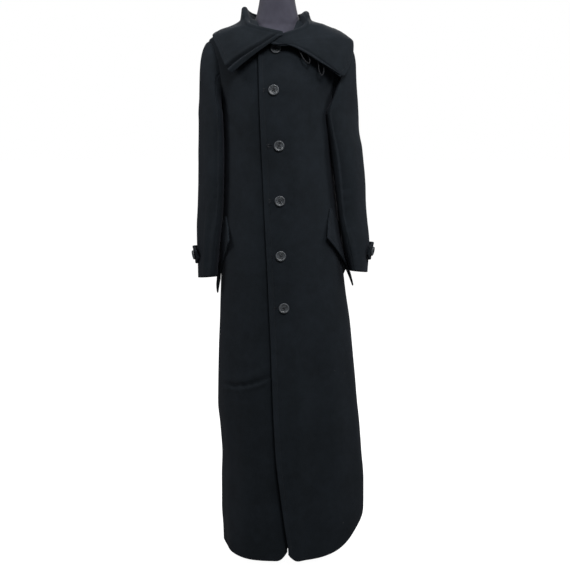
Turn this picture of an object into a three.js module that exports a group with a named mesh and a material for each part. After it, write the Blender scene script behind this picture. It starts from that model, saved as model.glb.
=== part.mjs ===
// A long single-breasted overcoat with a wide fold-over collar, buttoned onto a limbless dress form.
// Millimetres, +Z up. The coat faces -Y, and the wearer's left is at +X.
// The origin is on the floor, under the middle of the form's pole.
import * as THREE from "three";

// Cloth
const CLOTH = 2.5; // one layer of heavy melton
const TURNED_CLOTH = 4.5; // two layers sewn and turned: collar, flaps and cuff tabs
const SEAM = 0.4; // free space left at each seam
const LAP_RAISE = 4.1; // how far the upper front stands over the lower one
const LAP_FADE = 50; // how softly that step dies away behind the lap

// Heights
const CHEST_Z = 1000; // above this the rows bend down towards the front neck
const SKIRT_Z = 500; // below this the rows follow the hem
const NECK_Z = 1412; // neck point, at the top of the shoulder seam
const HEM_Z = 19; // lowest point of the hem
const LEFT_HEM_RISE = 104;
const BACK_HEM_RISE = 52;
const FRONT_NECK_DROP = 62; // how far the neckline falls at the centre front
const BACK_NECK_RISE = 5;

// Armholes
const SHOULDER_Z = 1368;
const UNDERARM_Z = 1196;
const ARMHOLE_FRONT = 60; // half depths towards the front and the back
const ARMHOLE_BACK = 66;
const ARM_STEPS = 16; // points round an armhole and a sleeve

// Front lap
const CORNER_RISE = 22; // rounding of the two front corners at the hem
const CORNER_REACH = 28;
const EDGE_LIFT = 6; // the upper front's edge swings forward below the last button

// Horizontal sections of the coat's body. right and left are half widths on the wearer's two sides.
const BODY = [
  { z: 0, right: 150, left: 222, front: 180, back: 164, power: 2.4 },
  { z: 60, right: 152, left: 228, front: 179, back: 164, power: 2.4 },
  { z: 118, right: 155, left: 236, front: 178, back: 164, power: 2.35 },
  { z: 191, right: 155, left: 237, front: 175, back: 163, power: 2.2 },
  { z: 263, right: 153, left: 231, front: 172, back: 160, power: 2.2 },
  { z: 349, right: 158, left: 224, front: 168, back: 155, power: 2.2 },
  { z: 406, right: 163, left: 217.5, front: 165, back: 152, power: 2.2 },
  { z: 547, right: 160, left: 204, front: 158, back: 145, power: 2.2 },
  { z: 630, right: 156, left: 195.5, front: 155, back: 140, power: 2.2 },
  { z: 712, right: 153, left: 183, front: 151, back: 135, power: 2.2 },
  { z: 850, right: 148, left: 167, front: 144, back: 127, power: 2.2 },
  { z: 929, right: 145, left: 159, front: 140, back: 121, power: 2.2 },
  { z: 1008, right: 143, left: 151, front: 135, back: 114, power: 2.2 },
  { z: 1087, right: 142, left: 146, front: 132, back: 111, power: 2.2 },
  { z: 1196, right: 144, left: 145, front: 130, back: 114, power: 2.2 },
  { z: 1250, right: 156, left: 156, front: 126, back: 119, power: 2.2 },
  { z: 1300, right: 170, left: 170, front: 114, back: 116, power: 2.1 },
  { z: 1340, right: 179, left: 179, front: 97, back: 107, power: 2.0 },
  { z: 1368, right: 178, left: 178, front: 82, back: 95, power: 1.85 },
  { z: 1379, right: 167, left: 167, front: 76, back: 89, power: 1.7 },
  { z: 1386, right: 154, left: 154, front: 71, back: 84, power: 1.6 },
  { z: 1394, right: 128, left: 128, front: 66, back: 79, power: 1.6 },
  { z: 1402, right: 104, left: 104, front: 61, back: 74, power: 1.6 },
  { z: 1412, right: 75, left: 75, front: 52, back: 65, power: 1.6 },
];

// Soft folds of the skirt and back: angle from the centre front in degrees, half width, depth, and where each runs.
const FOLDS = [
  { angle: -28, spread: 13, depth: 3.0, low: 0, high: 620 },
  { angle: -68, spread: 10, depth: -4.0, low: 0, high: 760 },
  { angle: 38, spread: 14, depth: -3.0, low: 0, high: 560 },
  { angle: 74, spread: 10, depth: 4.5, low: 0, high: 700 },
  { angle: 112, spread: 11, depth: -5.0, low: 0, high: 860 },
  { angle: 141, spread: 12, depth: 5.5, low: 0, high: 980 },
  { angle: 168, spread: 11, depth: -4.5, low: 0, high: 900 },
  { angle: 196, spread: 12, depth: 5.0, low: 0, high: 1010 },
  { angle: 226, spread: 11, depth: -5.0, low: 0, high: 880 },
  { angle: 252, spread: 10, depth: 4.0, low: 0, high: 760 },
];

// Where the edges of the two fronts run, as distances from the centre line.
const FRONT_EDGES = [
  { z: 0, upper: 28, lower: 26 },
  { z: 38, upper: 28, lower: 26 },
  { z: 130, upper: 17, lower: 36 },
  { z: 318, upper: -4, lower: 45 },
  { z: 634, upper: -17, lower: 50 },
  { z: 840, upper: -26, lower: 45 },
  { z: 1091, upper: -37, lower: 36 },
  { z: 1312, upper: -45, lower: 31 },
  { z: 1412, upper: -46, lower: 30 },
];

// Level sections of the hanging sleeves, from the cuff up to the upper arm.
const RIGHT_SLEEVE = [
  { z: 752, centre: 187, thick: 24, depth: 64, mid: -16, twist: 14 },
  { z: 850, centre: 183.7, thick: 26, depth: 69, mid: -14, twist: 18.5 },
  { z: 930, centre: 179, thick: 27.5, depth: 74, mid: -11, twist: 21 },
  { z: 1008, centre: 176, thick: 27, depth: 78, mid: -8, twist: 21 },
  { z: 1090, centre: 176, thick: 26, depth: 81, mid: -4, twist: 21 },
  { z: 1180, centre: 176, thick: 25, depth: 82, mid: 0, twist: 19 },
];
const LEFT_SLEEVE = [
  { z: 767, centre: 217.5, thick: 21, depth: 64, mid: -16, twist: 16 },
  { z: 850, centre: 209, thick: 30, depth: 71, mid: -13, twist: 21 },
  { z: 930, centre: 198, thick: 29.5, depth: 76, mid: -9, twist: 24 },
  { z: 1008, centre: 192, thick: 33, depth: 80, mid: -9, twist: 24 },
  { z: 1090, centre: 183, thick: 32.4, depth: 83, mid: -10, twist: 24.5 },
  { z: 1145, centre: 174, thick: 28.1, depth: 86, mid: -10, twist: 25 },
  { z: 1180, centre: 170, thick: 28.3, depth: 88, mid: -10, twist: 26 },
];
const CAP_ROWS = [0, 0.12, 0.28, 0.46, 0.64, 0.82]; // shares of the way from armhole to upper arm
const SLEEVE_ROWS = [1180, 1120, 1060, 1000, 940, 880, 820];
const SEAM_TURN = SEAM / 24; // the seam's free space as an angle
const CUFF_RISE = 11; // the cuffs rise towards the front
const CUFF_RISE_TO = 940; // above this height the rows are level
const RIGHT_ARM = { hand: -1, table: RIGHT_SLEEVE, fullness: 0.66, tab: 812 };
const LEFT_ARM = { hand: 1, table: LEFT_SLEEVE, fullness: 0.86, tab: 822 };
const SLEEVE_CLEAR = 3; // air between a sleeve and the coat's body

// The surface that the collar's fall lies on, outside the shoulders and sleeve heads.
const COLLAR_SURFACE = [
  { z: 1260, right: 193, left: 203, front: 144, back: 132, power: 2.1 },
  { z: 1290, right: 191, left: 202, front: 138, back: 129, power: 2.1 },
  { z: 1320, right: 188, left: 200, front: 129, back: 125, power: 2.1 },
  { z: 1350, right: 184, left: 199, front: 116, back: 120, power: 2.05 },
  { z: 1368, right: 179, left: 197, front: 106, back: 116, power: 2 },
  { z: 1381, right: 172, left: 182, front: 98, back: 112, power: 2.0 },
  { z: 1396, right: 149, left: 156, front: 89, back: 107, power: 2 },
  { z: 1404, right: 124.5, left: 136, front: 85, back: 104, power: 2 },
  { z: 1412, right: 107, left: 112, front: 81, back: 101, power: 2.0 },
  { z: 1420, right: 97, left: 89, front: 77, back: 97, power: 2.0 },
  { z: 1436, right: 94, left: 83, front: 72, back: 92, power: 2.0 },
  { z: 1450, right: 92, left: 80, front: 68, back: 88, power: 2.0 },
];

// The collar from its right front end, round the back, to its left front end. share runs along it;
// neck, roll and edge are angles from the centre front in degrees, top is the height of the roll,
// radius its bend, low the height of the outer edge, lift its distance off the surface below, and bow
// how far the fall sags below a straight line.
const COLLAR = [
  { share: 0, neck: -2, roll: 4, edge: -33, top: 1385, radius: 8, low: 1281, lift: 9, bow: 0 },
  { share: 0.06, neck: -20, roll: -17, edge: -41, top: 1399, radius: 8, low: 1306, lift: 7, bow: 0 },
  { share: 0.14, neck: -45, roll: -45, edge: -54, top: 1418, radius: 9, low: 1352, lift: 4, bow: 0 },
  { share: 0.22, neck: -75, roll: -76, edge: -75, top: 1447, radius: 9, low: 1382, lift: 1, bow: 0 },
  { share: 0.27, neck: -90, roll: -90, edge: -90, top: 1455, radius: 8, low: 1388, lift: 0, bow: 0 },
  { share: 0.38, neck: -135, roll: -135, edge: -135, top: 1443, radius: 9, low: 1352, lift: 0, bow: 0 },
  { share: 0.5, neck: -180, roll: -180, edge: -180, top: 1438, radius: 10, low: 1322, lift: 0, bow: 0 },
  { share: 0.62, neck: -225, roll: -225, edge: -225, top: 1441, radius: 10, low: 1340, lift: 0, bow: 0 },
  { share: 0.73, neck: -270, roll: -270, edge: -270, top: 1444, radius: 9, low: 1360, lift: 0, bow: 0 },
  { share: 0.8, neck: -290, roll: -290, edge: -284, top: 1440, radius: 10, low: 1331, lift: 1, bow: 0 },
  { share: 0.88, neck: -315, roll: -315, edge: -296, top: 1423, radius: 10, low: 1301, lift: 2, bow: 0 },
  { share: 0.94, neck: -338, roll: -339, edge: -301, top: 1396, radius: 8, low: 1286.5, lift: 3, bow: -5 },
  { share: 0.97, neck: -348.5, roll: -353, edge: -307, top: 1383, radius: 7.5, low: 1276, lift: 3, bow: -8 },
  { share: 1, neck: -359, roll: -367, edge: -313, top: 1369, radius: 7, low: 1280, lift: 3, bow: -9.5 },
];
const COLLAR_STEPS = 34;
const STAND_ROWS = [0, 0.5];
const STAND_UPRIGHT = 5; // the stand first rises straight from the seam
const ROLL_ROWS = [0, 45, 90, 135, 180]; // degrees round the roll, from the neck side outwards
const FALL_ROWS = [0.15, 0.32, 0.5, 0.68, 0.85, 1];
const STAND_INSET = 3.4; // the stand is set on the coat's neck edge
const STAND_RISE = 4.6;

// Pocket flaps: the sewn edge lies on the coat, the free edge hangs clear. Places run from front to back.
// bow is how far the free edge curves outwards, and bulge how far the flap's own face does.
const RIGHT_FLAP = {
  hand: -1,
  sewn: [{ z: 917, depth: 70 }, { z: 795, depth: -34 }],
  free: [{ x: 127, y: -105, z: 856 }, { x: 165, y: 20, z: 703 }],
  bow: 2,
  bulge: 7,
};
const LEFT_FLAP = {
  hand: 1,
  sewn: [{ z: 940, depth: 80 }, { z: 812, depth: -34 }],
  free: [{ x: 131, y: -114, z: 867 }, { x: 206, y: 20, z: 724 }],
  bow: 13,
  bulge: 1,
};
const FLAP_CLEAR = 0.8; // behind the sewn edge
const FLAP_HUG = 4;
const FLAP_STEPS = 9;
const FLAP_ROWS = 6;

// Cuff tabs and buttons
const TAB_WIDTH = 44;
const TAB_CLEAR = 1.2;
const TAB_STEPS = 8;
const TAB_FROM = -66; // degrees round the sleeve from its outer side; negative is towards the back
const TAB_TO = 12;
const TAB_POINT = 14; // degrees over which the free end narrows
const TAB_STAND = 9; // how far its free end stands off at the top
const TAB_BUTTON = -6; // degrees round the sleeve
const BUTTON_R = 13.2;
const CUFF_BUTTON_R = 12.5;
const BUTTON_THICK = 4.6;
const BUTTON_GAP = 0.5;
const BUTTON_SIDES = 14;
const BUTTONS = [
  { x: -3, z: 1341 },
  { x: -8, z: 1239 },
  { x: 5, z: 1101 },
  { x: 7, z: 963 },
  { x: 9, z: 824 },
  { x: 17, z: 691 },
];

// Loops of thin cord under the collar's left edge
const LOOP_R = 1.6;
const LOOP_CLEAR = 1.4;
const LOOP_SIDES = 6;
const LOOP_STEPS = 18;
const LOOPS = [
  { share: 0.48, tilt: 20 },
  { share: 0.74, tilt: 2 },
];
const LOOP_LENGTH = 27;
const LOOP_WIDTH = 10;
const LOOP_TUCK = 12; // how far its ends reach up under the collar

// Dress form
const FORM = [
  { z: 716, right: 92, left: 92, front: 74, back: 72, power: 2.0 },
  { z: 724, right: 118, left: 118, front: 92, back: 90, power: 2.0 },
  { z: 760, right: 130, left: 130, front: 102, back: 102, power: 2.1 },
  { z: 830, right: 131, left: 131, front: 104, back: 106, power: 2.1 },
  { z: 920, right: 117, left: 117, front: 96, back: 94, power: 2.1 },
  { z: 1000, right: 103, left: 103, front: 88, back: 78, power: 2.1 },
  { z: 1080, right: 110, left: 110, front: 96, back: 84, power: 2.1 },
  { z: 1170, right: 124, left: 124, front: 114, back: 98, power: 2.1 },
  { z: 1240, right: 138, left: 138, front: 112, back: 105, power: 2.1 },
  { z: 1290, right: 150, left: 150, front: 100, back: 104, power: 2.0 },
  { z: 1330, right: 160, left: 160, front: 82, back: 95, power: 1.95 },
  { z: 1356, right: 163, left: 163, front: 69, back: 85, power: 1.85 },
  { z: 1376, right: 160, left: 160, front: 60, back: 76, power: 1.7 },
  { z: 1383, right: 152, left: 152, front: 57, back: 73, power: 1.6 },
  { z: 1391, right: 127, left: 127, front: 54, back: 69, power: 1.6 },
  { z: 1399, right: 102, left: 102, front: 51, back: 65, power: 1.6 },
  { z: 1408, right: 69, left: 69, front: 48, back: 57, power: 1.7 },
  { z: 1420, right: 58, left: 58, front: 46, back: 53, power: 2.0 },
  { z: 1440, right: 52, left: 52, front: 45, back: 51, power: 2.0 },
  { z: 1470, right: 46, left: 46, front: 44, back: 48, power: 2.0 },
  { z: 1492, right: 43.5, left: 43.5, front: 42, back: 46, power: 2.0 },
  { z: 1499, right: 37, left: 37, front: 36, back: 39, power: 2.0 },
];
const FORM_STEPS = 26;
const POLE_R = 12;
const POLE_TOP = 715.7;
const FOOT_R = 26; // the flange at the pole's foot
const LEG_REACH = 146;
const LEG_HALF = 19;
const LEG_THICK = 8;
const LEG_END_STEPS = 6;

const MATERIALS = {
  cloth: new THREE.MeshStandardMaterial({ color: 0x17191e, roughness: 0.92, metalness: 0 }),
  button: new THREE.MeshStandardMaterial({ color: 0x3a3b3e, roughness: 0.35, metalness: 0 }),
  form: new THREE.MeshStandardMaterial({ color: 0x4a474e, roughness: 0.85, metalness: 0 }),
  steel: new THREE.MeshStandardMaterial({ color: 0x2b2c2f, roughness: 0.4, metalness: 0.8 }),
};

const radians = (degrees) => (degrees * Math.PI) / 180;

function smooth(from, to, value) {
  const t = Math.min(Math.max((value - from) / (to - from), 0), 1);
  return t * t * (3 - 2 * t);
}

function mix(a, b, t) {
  return a + (b - a) * t;
}

// A row of a table at any place between its rows: a cubic through each named column, with no overshoot.
function row(table, key, at) {
  const last = table.length - 1;
  const place = Math.min(Math.max(at, table[0][key]), table[last][key]);
  let i = 0;
  while (i < last - 1 && table[i + 1][key] < place) i++;
  const [p, q] = [table[i], table[i + 1]];
  const span = q[key] - p[key];
  const t = (place - p[key]) / span;
  const [t2, t3] = [t * t, t * t * t];
  const found = {};
  for (const name of Object.keys(p)) {
    const slope = (q[name] - p[name]) / span;
    const before = i > 0 ? (p[name] - table[i - 1][name]) / (p[key] - table[i - 1][key]) : slope;
    const after = i + 1 < last ? (table[i + 2][name] - q[name]) / (table[i + 2][key] - q[key]) : slope;
    found[name] =
      (2 * t3 - 3 * t2 + 1) * p[name] +
      (t3 - 2 * t2 + t) * span * easySlope(slope, before) +
      (3 * t2 - 2 * t3) * q[name] +
      (t3 - t2) * span * easySlope(slope, after);
  }
  return found;
}

// The harmonic mean of two slopes, or level where they point opposite ways.
function easySlope(a, b) {
  return a * b <= 0 ? 0 : (2 * a * b) / (a + b);
}

// The point of a section at an angle from the centre front.
function onSection(section, angle, raise = 0) {
  const [s, c] = [Math.sin(angle), Math.cos(angle)];
  const wide = (s >= 0 ? section.left : section.right) + raise;
  const deep = (c >= 0 ? section.front : section.back) + raise;
  const bend = 2 / section.power;
  return [wide * Math.sign(s) * Math.abs(s) ** bend, -deep * Math.sign(c) * Math.abs(c) ** bend];
}

// The angle at which a section is a given distance from the centre line, on its front half.
function angleAcross(section, x) {
  const wide = x >= 0 ? section.left : section.right;
  return Math.sign(x) * Math.asin(Math.min(1, (Math.abs(x) / wide) ** (section.power / 2)));
}

// The angle from the side at which a section is a given depth in front of or behind the side seam.
function angleAlong(section, depth, deepest) {
  return Math.acos(Math.min(1, (Math.abs(depth) / deepest) ** (section.power / 2)));
}

// How far the folds push the cloth out at an angle and height.
function foldDepth(angle, z) {
  const turn = ((((angle * 180) / Math.PI + 80) % 360) + 360) % 360 - 80;
  return FOLDS.reduce((sum, f) => {
    const across = Math.exp(-(((turn - f.angle) / f.spread) ** 2));
    return sum + f.depth * across * (1 - smooth(f.low, f.high, z));
  }, 0);
}

function bodyPoint(angle, z, raise = 0) {
  const [x, y] = onSection(row(BODY, "z", z), angle, raise + foldDepth(angle, z));
  return new THREE.Vector3(x, y, z);
}

// Height of the hem at an angle: it lifts at the wearer's left side and a little at the back.
function hemHeight(angle) {
  const turn = ((((angle * 180) / Math.PI + 180) % 360) + 360) % 360 - 180;
  const left = Math.exp(-(((turn - 92) / 34) ** 2));
  const back = Math.exp(-(((Math.abs(turn) - 180) / 60) ** 2));
  return HEM_Z + LEFT_HEM_RISE * left + BACK_HEM_RISE * back;
}

function neckDrop(angle) {
  const turn = Math.abs(((((angle * 180) / Math.PI + 180) % 360) + 360) % 360 - 180);
  return FRONT_NECK_DROP * Math.exp(-((turn / 24) ** 1.6)) - BACK_NECK_RISE * smooth(90, 180, turn);
}

// The true height of a row, which is named by its height at the side seam.
function levelHeight(level, angle, corner = 0) {
  const hem = (hemHeight(angle) + corner) * (1 - Math.min(level / SKIRT_Z, 1)) ** 2;
  return level + hem - neckDrop(angle) * smooth(CHEST_Z, NECK_Z, level);
}

const ARM_MID = (SHOULDER_Z + UNDERARM_Z) / 2;
const ARM_HALF = (SHOULDER_Z - UNDERARM_Z) / 2;
const armLevels = Array.from({ length: ARM_STEPS / 2 + 1 }, (_, k) => {
  return ARM_MID - ARM_HALF * Math.cos((2 * Math.PI * k) / ARM_STEPS);
});
const LEVELS = [
  ...[0, 55, 125, 215, 325, 445, 570, 690, 790, 870, 950, 1030, 1100, 1155],
  ...armLevels,
  ...[1379, 1386, 1394, 1402, 1408, NECK_Z],
];

// Half the depth of the armhole's opening at a level, never less than half a seam's gap.
function armholeDepth(level, deepest) {
  const up = (level - ARM_MID) / ARM_HALF;
  const open = Math.abs(up) < 1 ? deepest * Math.sqrt(1 - up * up) : 0;
  return Math.max(open, SEAM / 2);
}

// A closed wall of cloth from a grid of points on its outer face. sign turns the normals outwards,
// and settle may move an inner point that would cross a seam.
function wall(grid, thick, sign = 1, settle = null) {
  const [rows, columns] = [grid.length, grid[0].length];
  const at = (i, j) => grid[Math.min(Math.max(i, 0), rows - 1)][Math.min(Math.max(j, 0), columns - 1)];
  const inner = grid.map((line, i) =>
    line.map((point, j) => {
      const along = at(i, j + 1).clone().sub(at(i, j - 1));
      const up = at(i + 1, j).clone().sub(at(i - 1, j));
      const normal = along.cross(up).normalize().multiplyScalar(sign * thick);
      const moved = point.clone().sub(normal);
      return settle ? settle(moved, i, j) : moved;
    }),
  );
  const points = [...grid.flat(), ...inner.flat()];
  const outerId = (i, j) => i * columns + j;
  const innerId = (i, j) => rows * columns + i * columns + j;
  const faces = [];
  const quad = (a, b, c, d) => faces.push(a, b, c, a, c, d);
  for (let i = 0; i + 1 < rows; i++) {
    for (let j = 0; j + 1 < columns; j++) {
      quad(outerId(i, j), outerId(i, j + 1), outerId(i + 1, j + 1), outerId(i + 1, j));
      quad(innerId(i, j), innerId(i + 1, j), innerId(i + 1, j + 1), innerId(i, j + 1));
    }
    quad(outerId(i, 0), outerId(i + 1, 0), innerId(i + 1, 0), innerId(i, 0));
    quad(outerId(i + 1, columns - 1), outerId(i, columns - 1), innerId(i, columns - 1), innerId(i + 1, columns - 1));
  }
  for (let j = 0; j + 1 < columns; j++) {
    quad(outerId(0, j + 1), outerId(0, j), innerId(0, j), innerId(0, j + 1));
    quad(outerId(rows - 1, j), outerId(rows - 1, j + 1), innerId(rows - 1, j + 1), innerId(rows - 1, j));
  }
  return closed(points, faces);
}

// A geometry from points and triangles, turned so that its faces point outwards.
function closed(points, faces) {
  let volume = 0;
  for (let k = 0; k < faces.length; k += 3) {
    const [a, b, c] = [points[faces[k]], points[faces[k + 1]], points[faces[k + 2]]];
    volume += a.dot(b.clone().cross(c));
  }
  if (volume < 0) {
    for (let k = 0; k < faces.length; k += 3) [faces[k + 1], faces[k + 2]] = [faces[k + 2], faces[k + 1]];
  }
  return new THREE.BufferGeometry().setFromPoints(points).setIndex(faces);
}

const coat = new THREE.Group();

function add(name, geometry, material) {
  const mesh = new THREE.Mesh(geometry, material);
  mesh.name = name;
  coat.add(mesh);
  return mesh;
}

// Columns of a front: first distances in from its edge, then shares of the way to its side seam.
const EDGE_COLUMNS = [0, 10, 24, 42];
const SIDE_COLUMNS = [0.13, 0.26, 0.39, 0.52, 0.65, 0.77, 0.89, 1];

// How far the upper front stands forward of the lower one.
function lapRaise(x, z) {
  const edges = row(FRONT_EDGES, "z", z);
  const swing = EDGE_LIFT * (1 - smooth(150, 700, z)) * (1 - smooth(0, 60, x - edges.upper));
  return LAP_RAISE * (1 - smooth(edges.lower + 4, edges.lower + 4 + LAP_FADE, x)) + swing;
}

// hand is 1 for the wearer's left front, which laps over the right one.
function front(hand) {
  const edge = hand > 0 ? "upper" : "lower";
  const grid = LEVELS.map((level) => {
    const place = (inset) => {
      const corner = CORNER_RISE * Math.max(0, 1 - inset / CORNER_REACH) ** 2;
      let spot = { angle: 0, z: levelHeight(level, 0, corner) };
      for (let turn = 0; turn < 3; turn++) {
        const x = row(FRONT_EDGES, "z", spot.z)[edge] + hand * inset;
        const angle = angleAcross(row(BODY, "z", spot.z), x);
        spot = { angle, z: levelHeight(level, angle, corner) };
      }
      return spot;
    };
    const line = EDGE_COLUMNS.map(place);
    const from = line[line.length - 1].angle;
    const section = row(BODY, "z", level);
    const seam = hand * angleAlong(section, SEAM / 2, section.front);
    const cut = seam - hand * angleAlong(section, armholeDepth(level, ARMHOLE_FRONT), section.front);
    for (const share of SIDE_COLUMNS) {
      const angle = mix(from, seam, share) - cut * share ** 2;
      line.push({ angle, z: levelHeight(level, angle) });
    }
    return line.map(({ angle, z }) => {
      return bodyPoint(angle, z, hand > 0 ? lapRaise(bodyPoint(angle, z).x, z) : 0);
    });
  });
  // At the side and shoulder seams the inner face stays on its own side of the seam.
  const last = EDGE_COLUMNS.length + SIDE_COLUMNS.length - 1;
  return wall(grid, CLOTH, hand, (point, i, j) => {
    if (j === last) point.y = Math.min(point.y, -SEAM / 2);
    return point;
  });
}

const BACK_COLUMNS = 16;

function back() {
  const grid = LEVELS.map((level) => {
    const section = row(BODY, "z", level);
    const seam = angleAlong(section, SEAM / 2, section.back);
    const cut = seam - angleAlong(section, armholeDepth(level, ARMHOLE_BACK), section.back);
    return Array.from({ length: BACK_COLUMNS + 1 }, (_, j) => {
      const share = (2 * j) / BACK_COLUMNS - 1;
      const angle = Math.PI + seam * share - cut * Math.sign(share) * share ** 2;
      return bodyPoint(angle, levelHeight(level, angle));
    });
  });
  return wall(grid, CLOTH, 1, (point, i, j) => {
    if (j === 0 || j === BACK_COLUMNS) point.y = Math.max(point.y, SEAM / 2);
    return point;
  });
}

// A point of the armhole's ring on the coat's body. turn 0 is the shoulder, a quarter turn is the front.
function armholePoint(hand, turn) {
  const inset = 1 - 0.8 / ARM_HALF;
  const z = ARM_MID + ARM_HALF * inset * Math.cos(turn);
  const ahead = Math.sin(turn);
  const y = -(ahead >= 0 ? ARMHOLE_FRONT : ARMHOLE_BACK) * inset * ahead;
  const section = row(BODY, "z", z);
  const deep = y <= 0 ? section.front : section.back;
  const wide = hand > 0 ? section.left : section.right;
  const x = wide * (1 - (Math.abs(y) / deep) ** section.power) ** (1 / section.power);
  return new THREE.Vector3(hand * (x + SEAM), y, z);
}

// Moves a point out of the coat's body, if it would be in it or too near.
function clearOfBody(point, clear) {
  const section = row(BODY, "z", point.z);
  const { power } = section;
  const near = point.x >= 0 ? section.left : section.right;
  const angle = Math.atan2(point.x / near, -point.y / (point.y <= 0 ? section.front : section.back));
  const room = clear + Math.max(0, foldDepth(angle, point.z));
  const wide = near + room;
  const deep = (point.y <= 0 ? section.front : section.back) + room;
  const reach = ((Math.abs(point.x) / wide) ** power + (Math.abs(point.y) / deep) ** power) ** (1 / power);
  if (reach < 1) point.multiply(new THREE.Vector3(1 / reach, 1 / reach, 1));
  return point;
}

// A point of a hanging sleeve's section. The section is an ellipse turned by its twist.
function sleevePoint({ hand, table }, z, turn, out = 0) {
  const s = row(table, "z", z);
  const twist = radians(s.twist);
  const [wide, ahead] = [(s.thick + out) * Math.cos(turn), (s.depth + out) * Math.sin(turn)];
  const x = s.centre + wide * Math.cos(twist) - ahead * Math.sin(twist);
  const y = s.mid - wide * Math.sin(twist) - ahead * Math.cos(twist);
  const rise = CUFF_RISE * Math.sin(turn) * (1 - smooth(table[0].z, CUFF_RISE_TO, z));
  return clearOfBody(new THREE.Vector3(hand * x, y, z + rise), SLEEVE_CLEAR);
}

// Round the sleeve cap the cloth leaves the armhole outwards and bends down to the upper arm.
function capPoint(arm, share, turn) {
  const { hand, table, fullness } = arm;
  const from = armholePoint(hand, turn);
  const to = sleevePoint(arm, table[table.length - 1].z, turn);
  const reach = from.distanceTo(to) * fullness;
  const drop = 0.25 + 0.35 * Math.max(0, Math.cos(turn));
  const start = new THREE.Vector3(hand, 0, -drop).normalize().multiplyScalar(reach);
  const [t, t2, t3] = [share, share ** 2, share ** 3];
  const point = from.clone().multiplyScalar(2 * t3 - 3 * t2 + 1);
  point.addScaledVector(start, t3 - 2 * t2 + t);
  point.addScaledVector(to, 3 * t2 - 2 * t3);
  point.z += (t2 - t3) * reach;
  return clearOfBody(point, SLEEVE_CLEAR * smooth(0, 0.4, share));
}

// One half of a sleeve between its two seams: the upper half is outside, the under half faces the body.
function sleeveHalf(arm, middle) {
  const steps = ARM_STEPS / 2;
  const quarter = Math.PI / 2 - SEAM_TURN;
  const turns = Array.from({ length: steps + 1 }, (_, k) => middle + mix(quarter, -quarter, k / steps));
  const grid = [
    ...CAP_ROWS.map((share) => turns.map((turn) => capPoint(arm, share, turn))),
    ...[...SLEEVE_ROWS, arm.table[0].z].map((z) => turns.map((turn) => sleevePoint(arm, z, turn))),
  ];
  return wall(grid, CLOTH, -arm.hand, (point, i, j) => {
    if (j !== 0 && j !== steps) return point;
    // At the two seams the inner face lies behind the outer one, and on its own side of the seam.
    const outer = grid[i][j];
    const inwards = grid[i][steps - j].clone().sub(outer).normalize();
    const across = grid[i][steps / 2].clone().sub(outer);
    across.addScaledVector(inwards, -across.dot(inwards)).normalize();
    return outer.clone().addScaledVector(inwards, CLOTH).addScaledVector(across, SEAM / 2);
  });
}

// How far the fall sags at a share of the way down it: most a third of the way.
const sag = (bow, share) => bow * (6.75 * share * (1 - share) ** 2) ** 2;

// A column of the collar. along runs from the right front end to the left one.
function collarRows(along) {
  const c = row(COLLAR, "share", along);
  const neckAngle = radians(c.neck);
  const neck = bodyPoint(neckAngle, NECK_Z - neckDrop(neckAngle));
  const ring = Math.hypot(neck.x, neck.y);
  neck.multiply(new THREE.Vector3(1 - STAND_INSET / ring, 1 - STAND_INSET / ring, 1));
  neck.z += STAND_RISE;

  const surface = (angle, z, lift) => {
    const [x, y] = onSection(row(COLLAR_SURFACE, "z", z), radians(angle), lift);
    return new THREE.Vector3(x, y, z);
  };
  const foot = c.top - c.radius;
  const outer = surface(c.roll, foot, c.lift);
  const away = new THREE.Vector3(outer.x, outer.y, 0).normalize();
  const hub = outer.clone().addScaledVector(away, -c.radius);
  const round = ROLL_ROWS.map((degrees) => {
    const bend = radians(degrees);
    const point = hub.clone().addScaledVector(away, -c.radius * Math.cos(bend));
    point.z += c.radius * Math.sin(bend);
    return point;
  });
  const upright = neck.clone().add(new THREE.Vector3(0, 0, STAND_UPRIGHT));
  const stand = [neck, ...STAND_ROWS.map((share) => upright.clone().lerp(round[0], share))];
  const fall = FALL_ROWS.map((share) => {
    return surface(mix(c.roll, c.edge, share), mix(foot, c.low, share) - sag(c.bow, share), c.lift);
  });
  return [...stand, ...round, ...fall];
}

function collar() {
  const columns = Array.from({ length: COLLAR_STEPS + 1 }, (_, k) => collarRows(k / COLLAR_STEPS));
  const grid = columns[0].map((_, i) => columns.map((column) => column[i]));
  return wall(grid, TURNED_CLOTH, 1);
}

// The end of a row across a section, at a depth in front of (positive) or behind the side seam.
function onBodySide(hand, z, depth, out) {
  const section = row(BODY, "z", z);
  const deep = depth >= 0 ? section.front : section.back;
  const turn = angleAlong(section, depth, deep);
  return bodyPoint(hand * (depth >= 0 ? turn : Math.PI - turn), z, out);
}

function flap({ hand, sewn, free, bow, bulge }) {
  const [front, rear] = free.map((p) => new THREE.Vector3(hand * p.x, p.y, p.z));
  const away = new THREE.Vector3(hand * 0.9, -0.44, 0);
  const grid = Array.from({ length: FLAP_ROWS + 1 }, (_, i) => {
    const down = i / FLAP_ROWS;
    return Array.from({ length: FLAP_STEPS + 1 }, (_, j) => {
      const along = j / FLAP_STEPS;
      const z = mix(sewn[0].z, sewn[1].z, along);
      const depth = mix(sewn[0].depth, sewn[1].depth, along);
      const top = onBodySide(hand, z, depth, TURNED_CLOTH + FLAP_CLEAR);
      const bottom = front.clone().lerp(rear, along);
      bottom.addScaledVector(away, bow * Math.sin(Math.PI * along));
      const point = top.lerp(bottom, down);
      // The flap first lies close to the coat, then swings out.
      const hug = FLAP_HUG * Math.sin(Math.PI * down) * (1 - down);
      const swell = bulge * Math.sin(Math.PI * down ** 1.5) * smooth(0.15, 0.75, along);
      return clearOfBody(point.addScaledVector(away, swell - hug), TURNED_CLOTH + FLAP_CLEAR);
    });
  });
  return wall(grid, TURNED_CLOTH, -hand);
}

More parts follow.
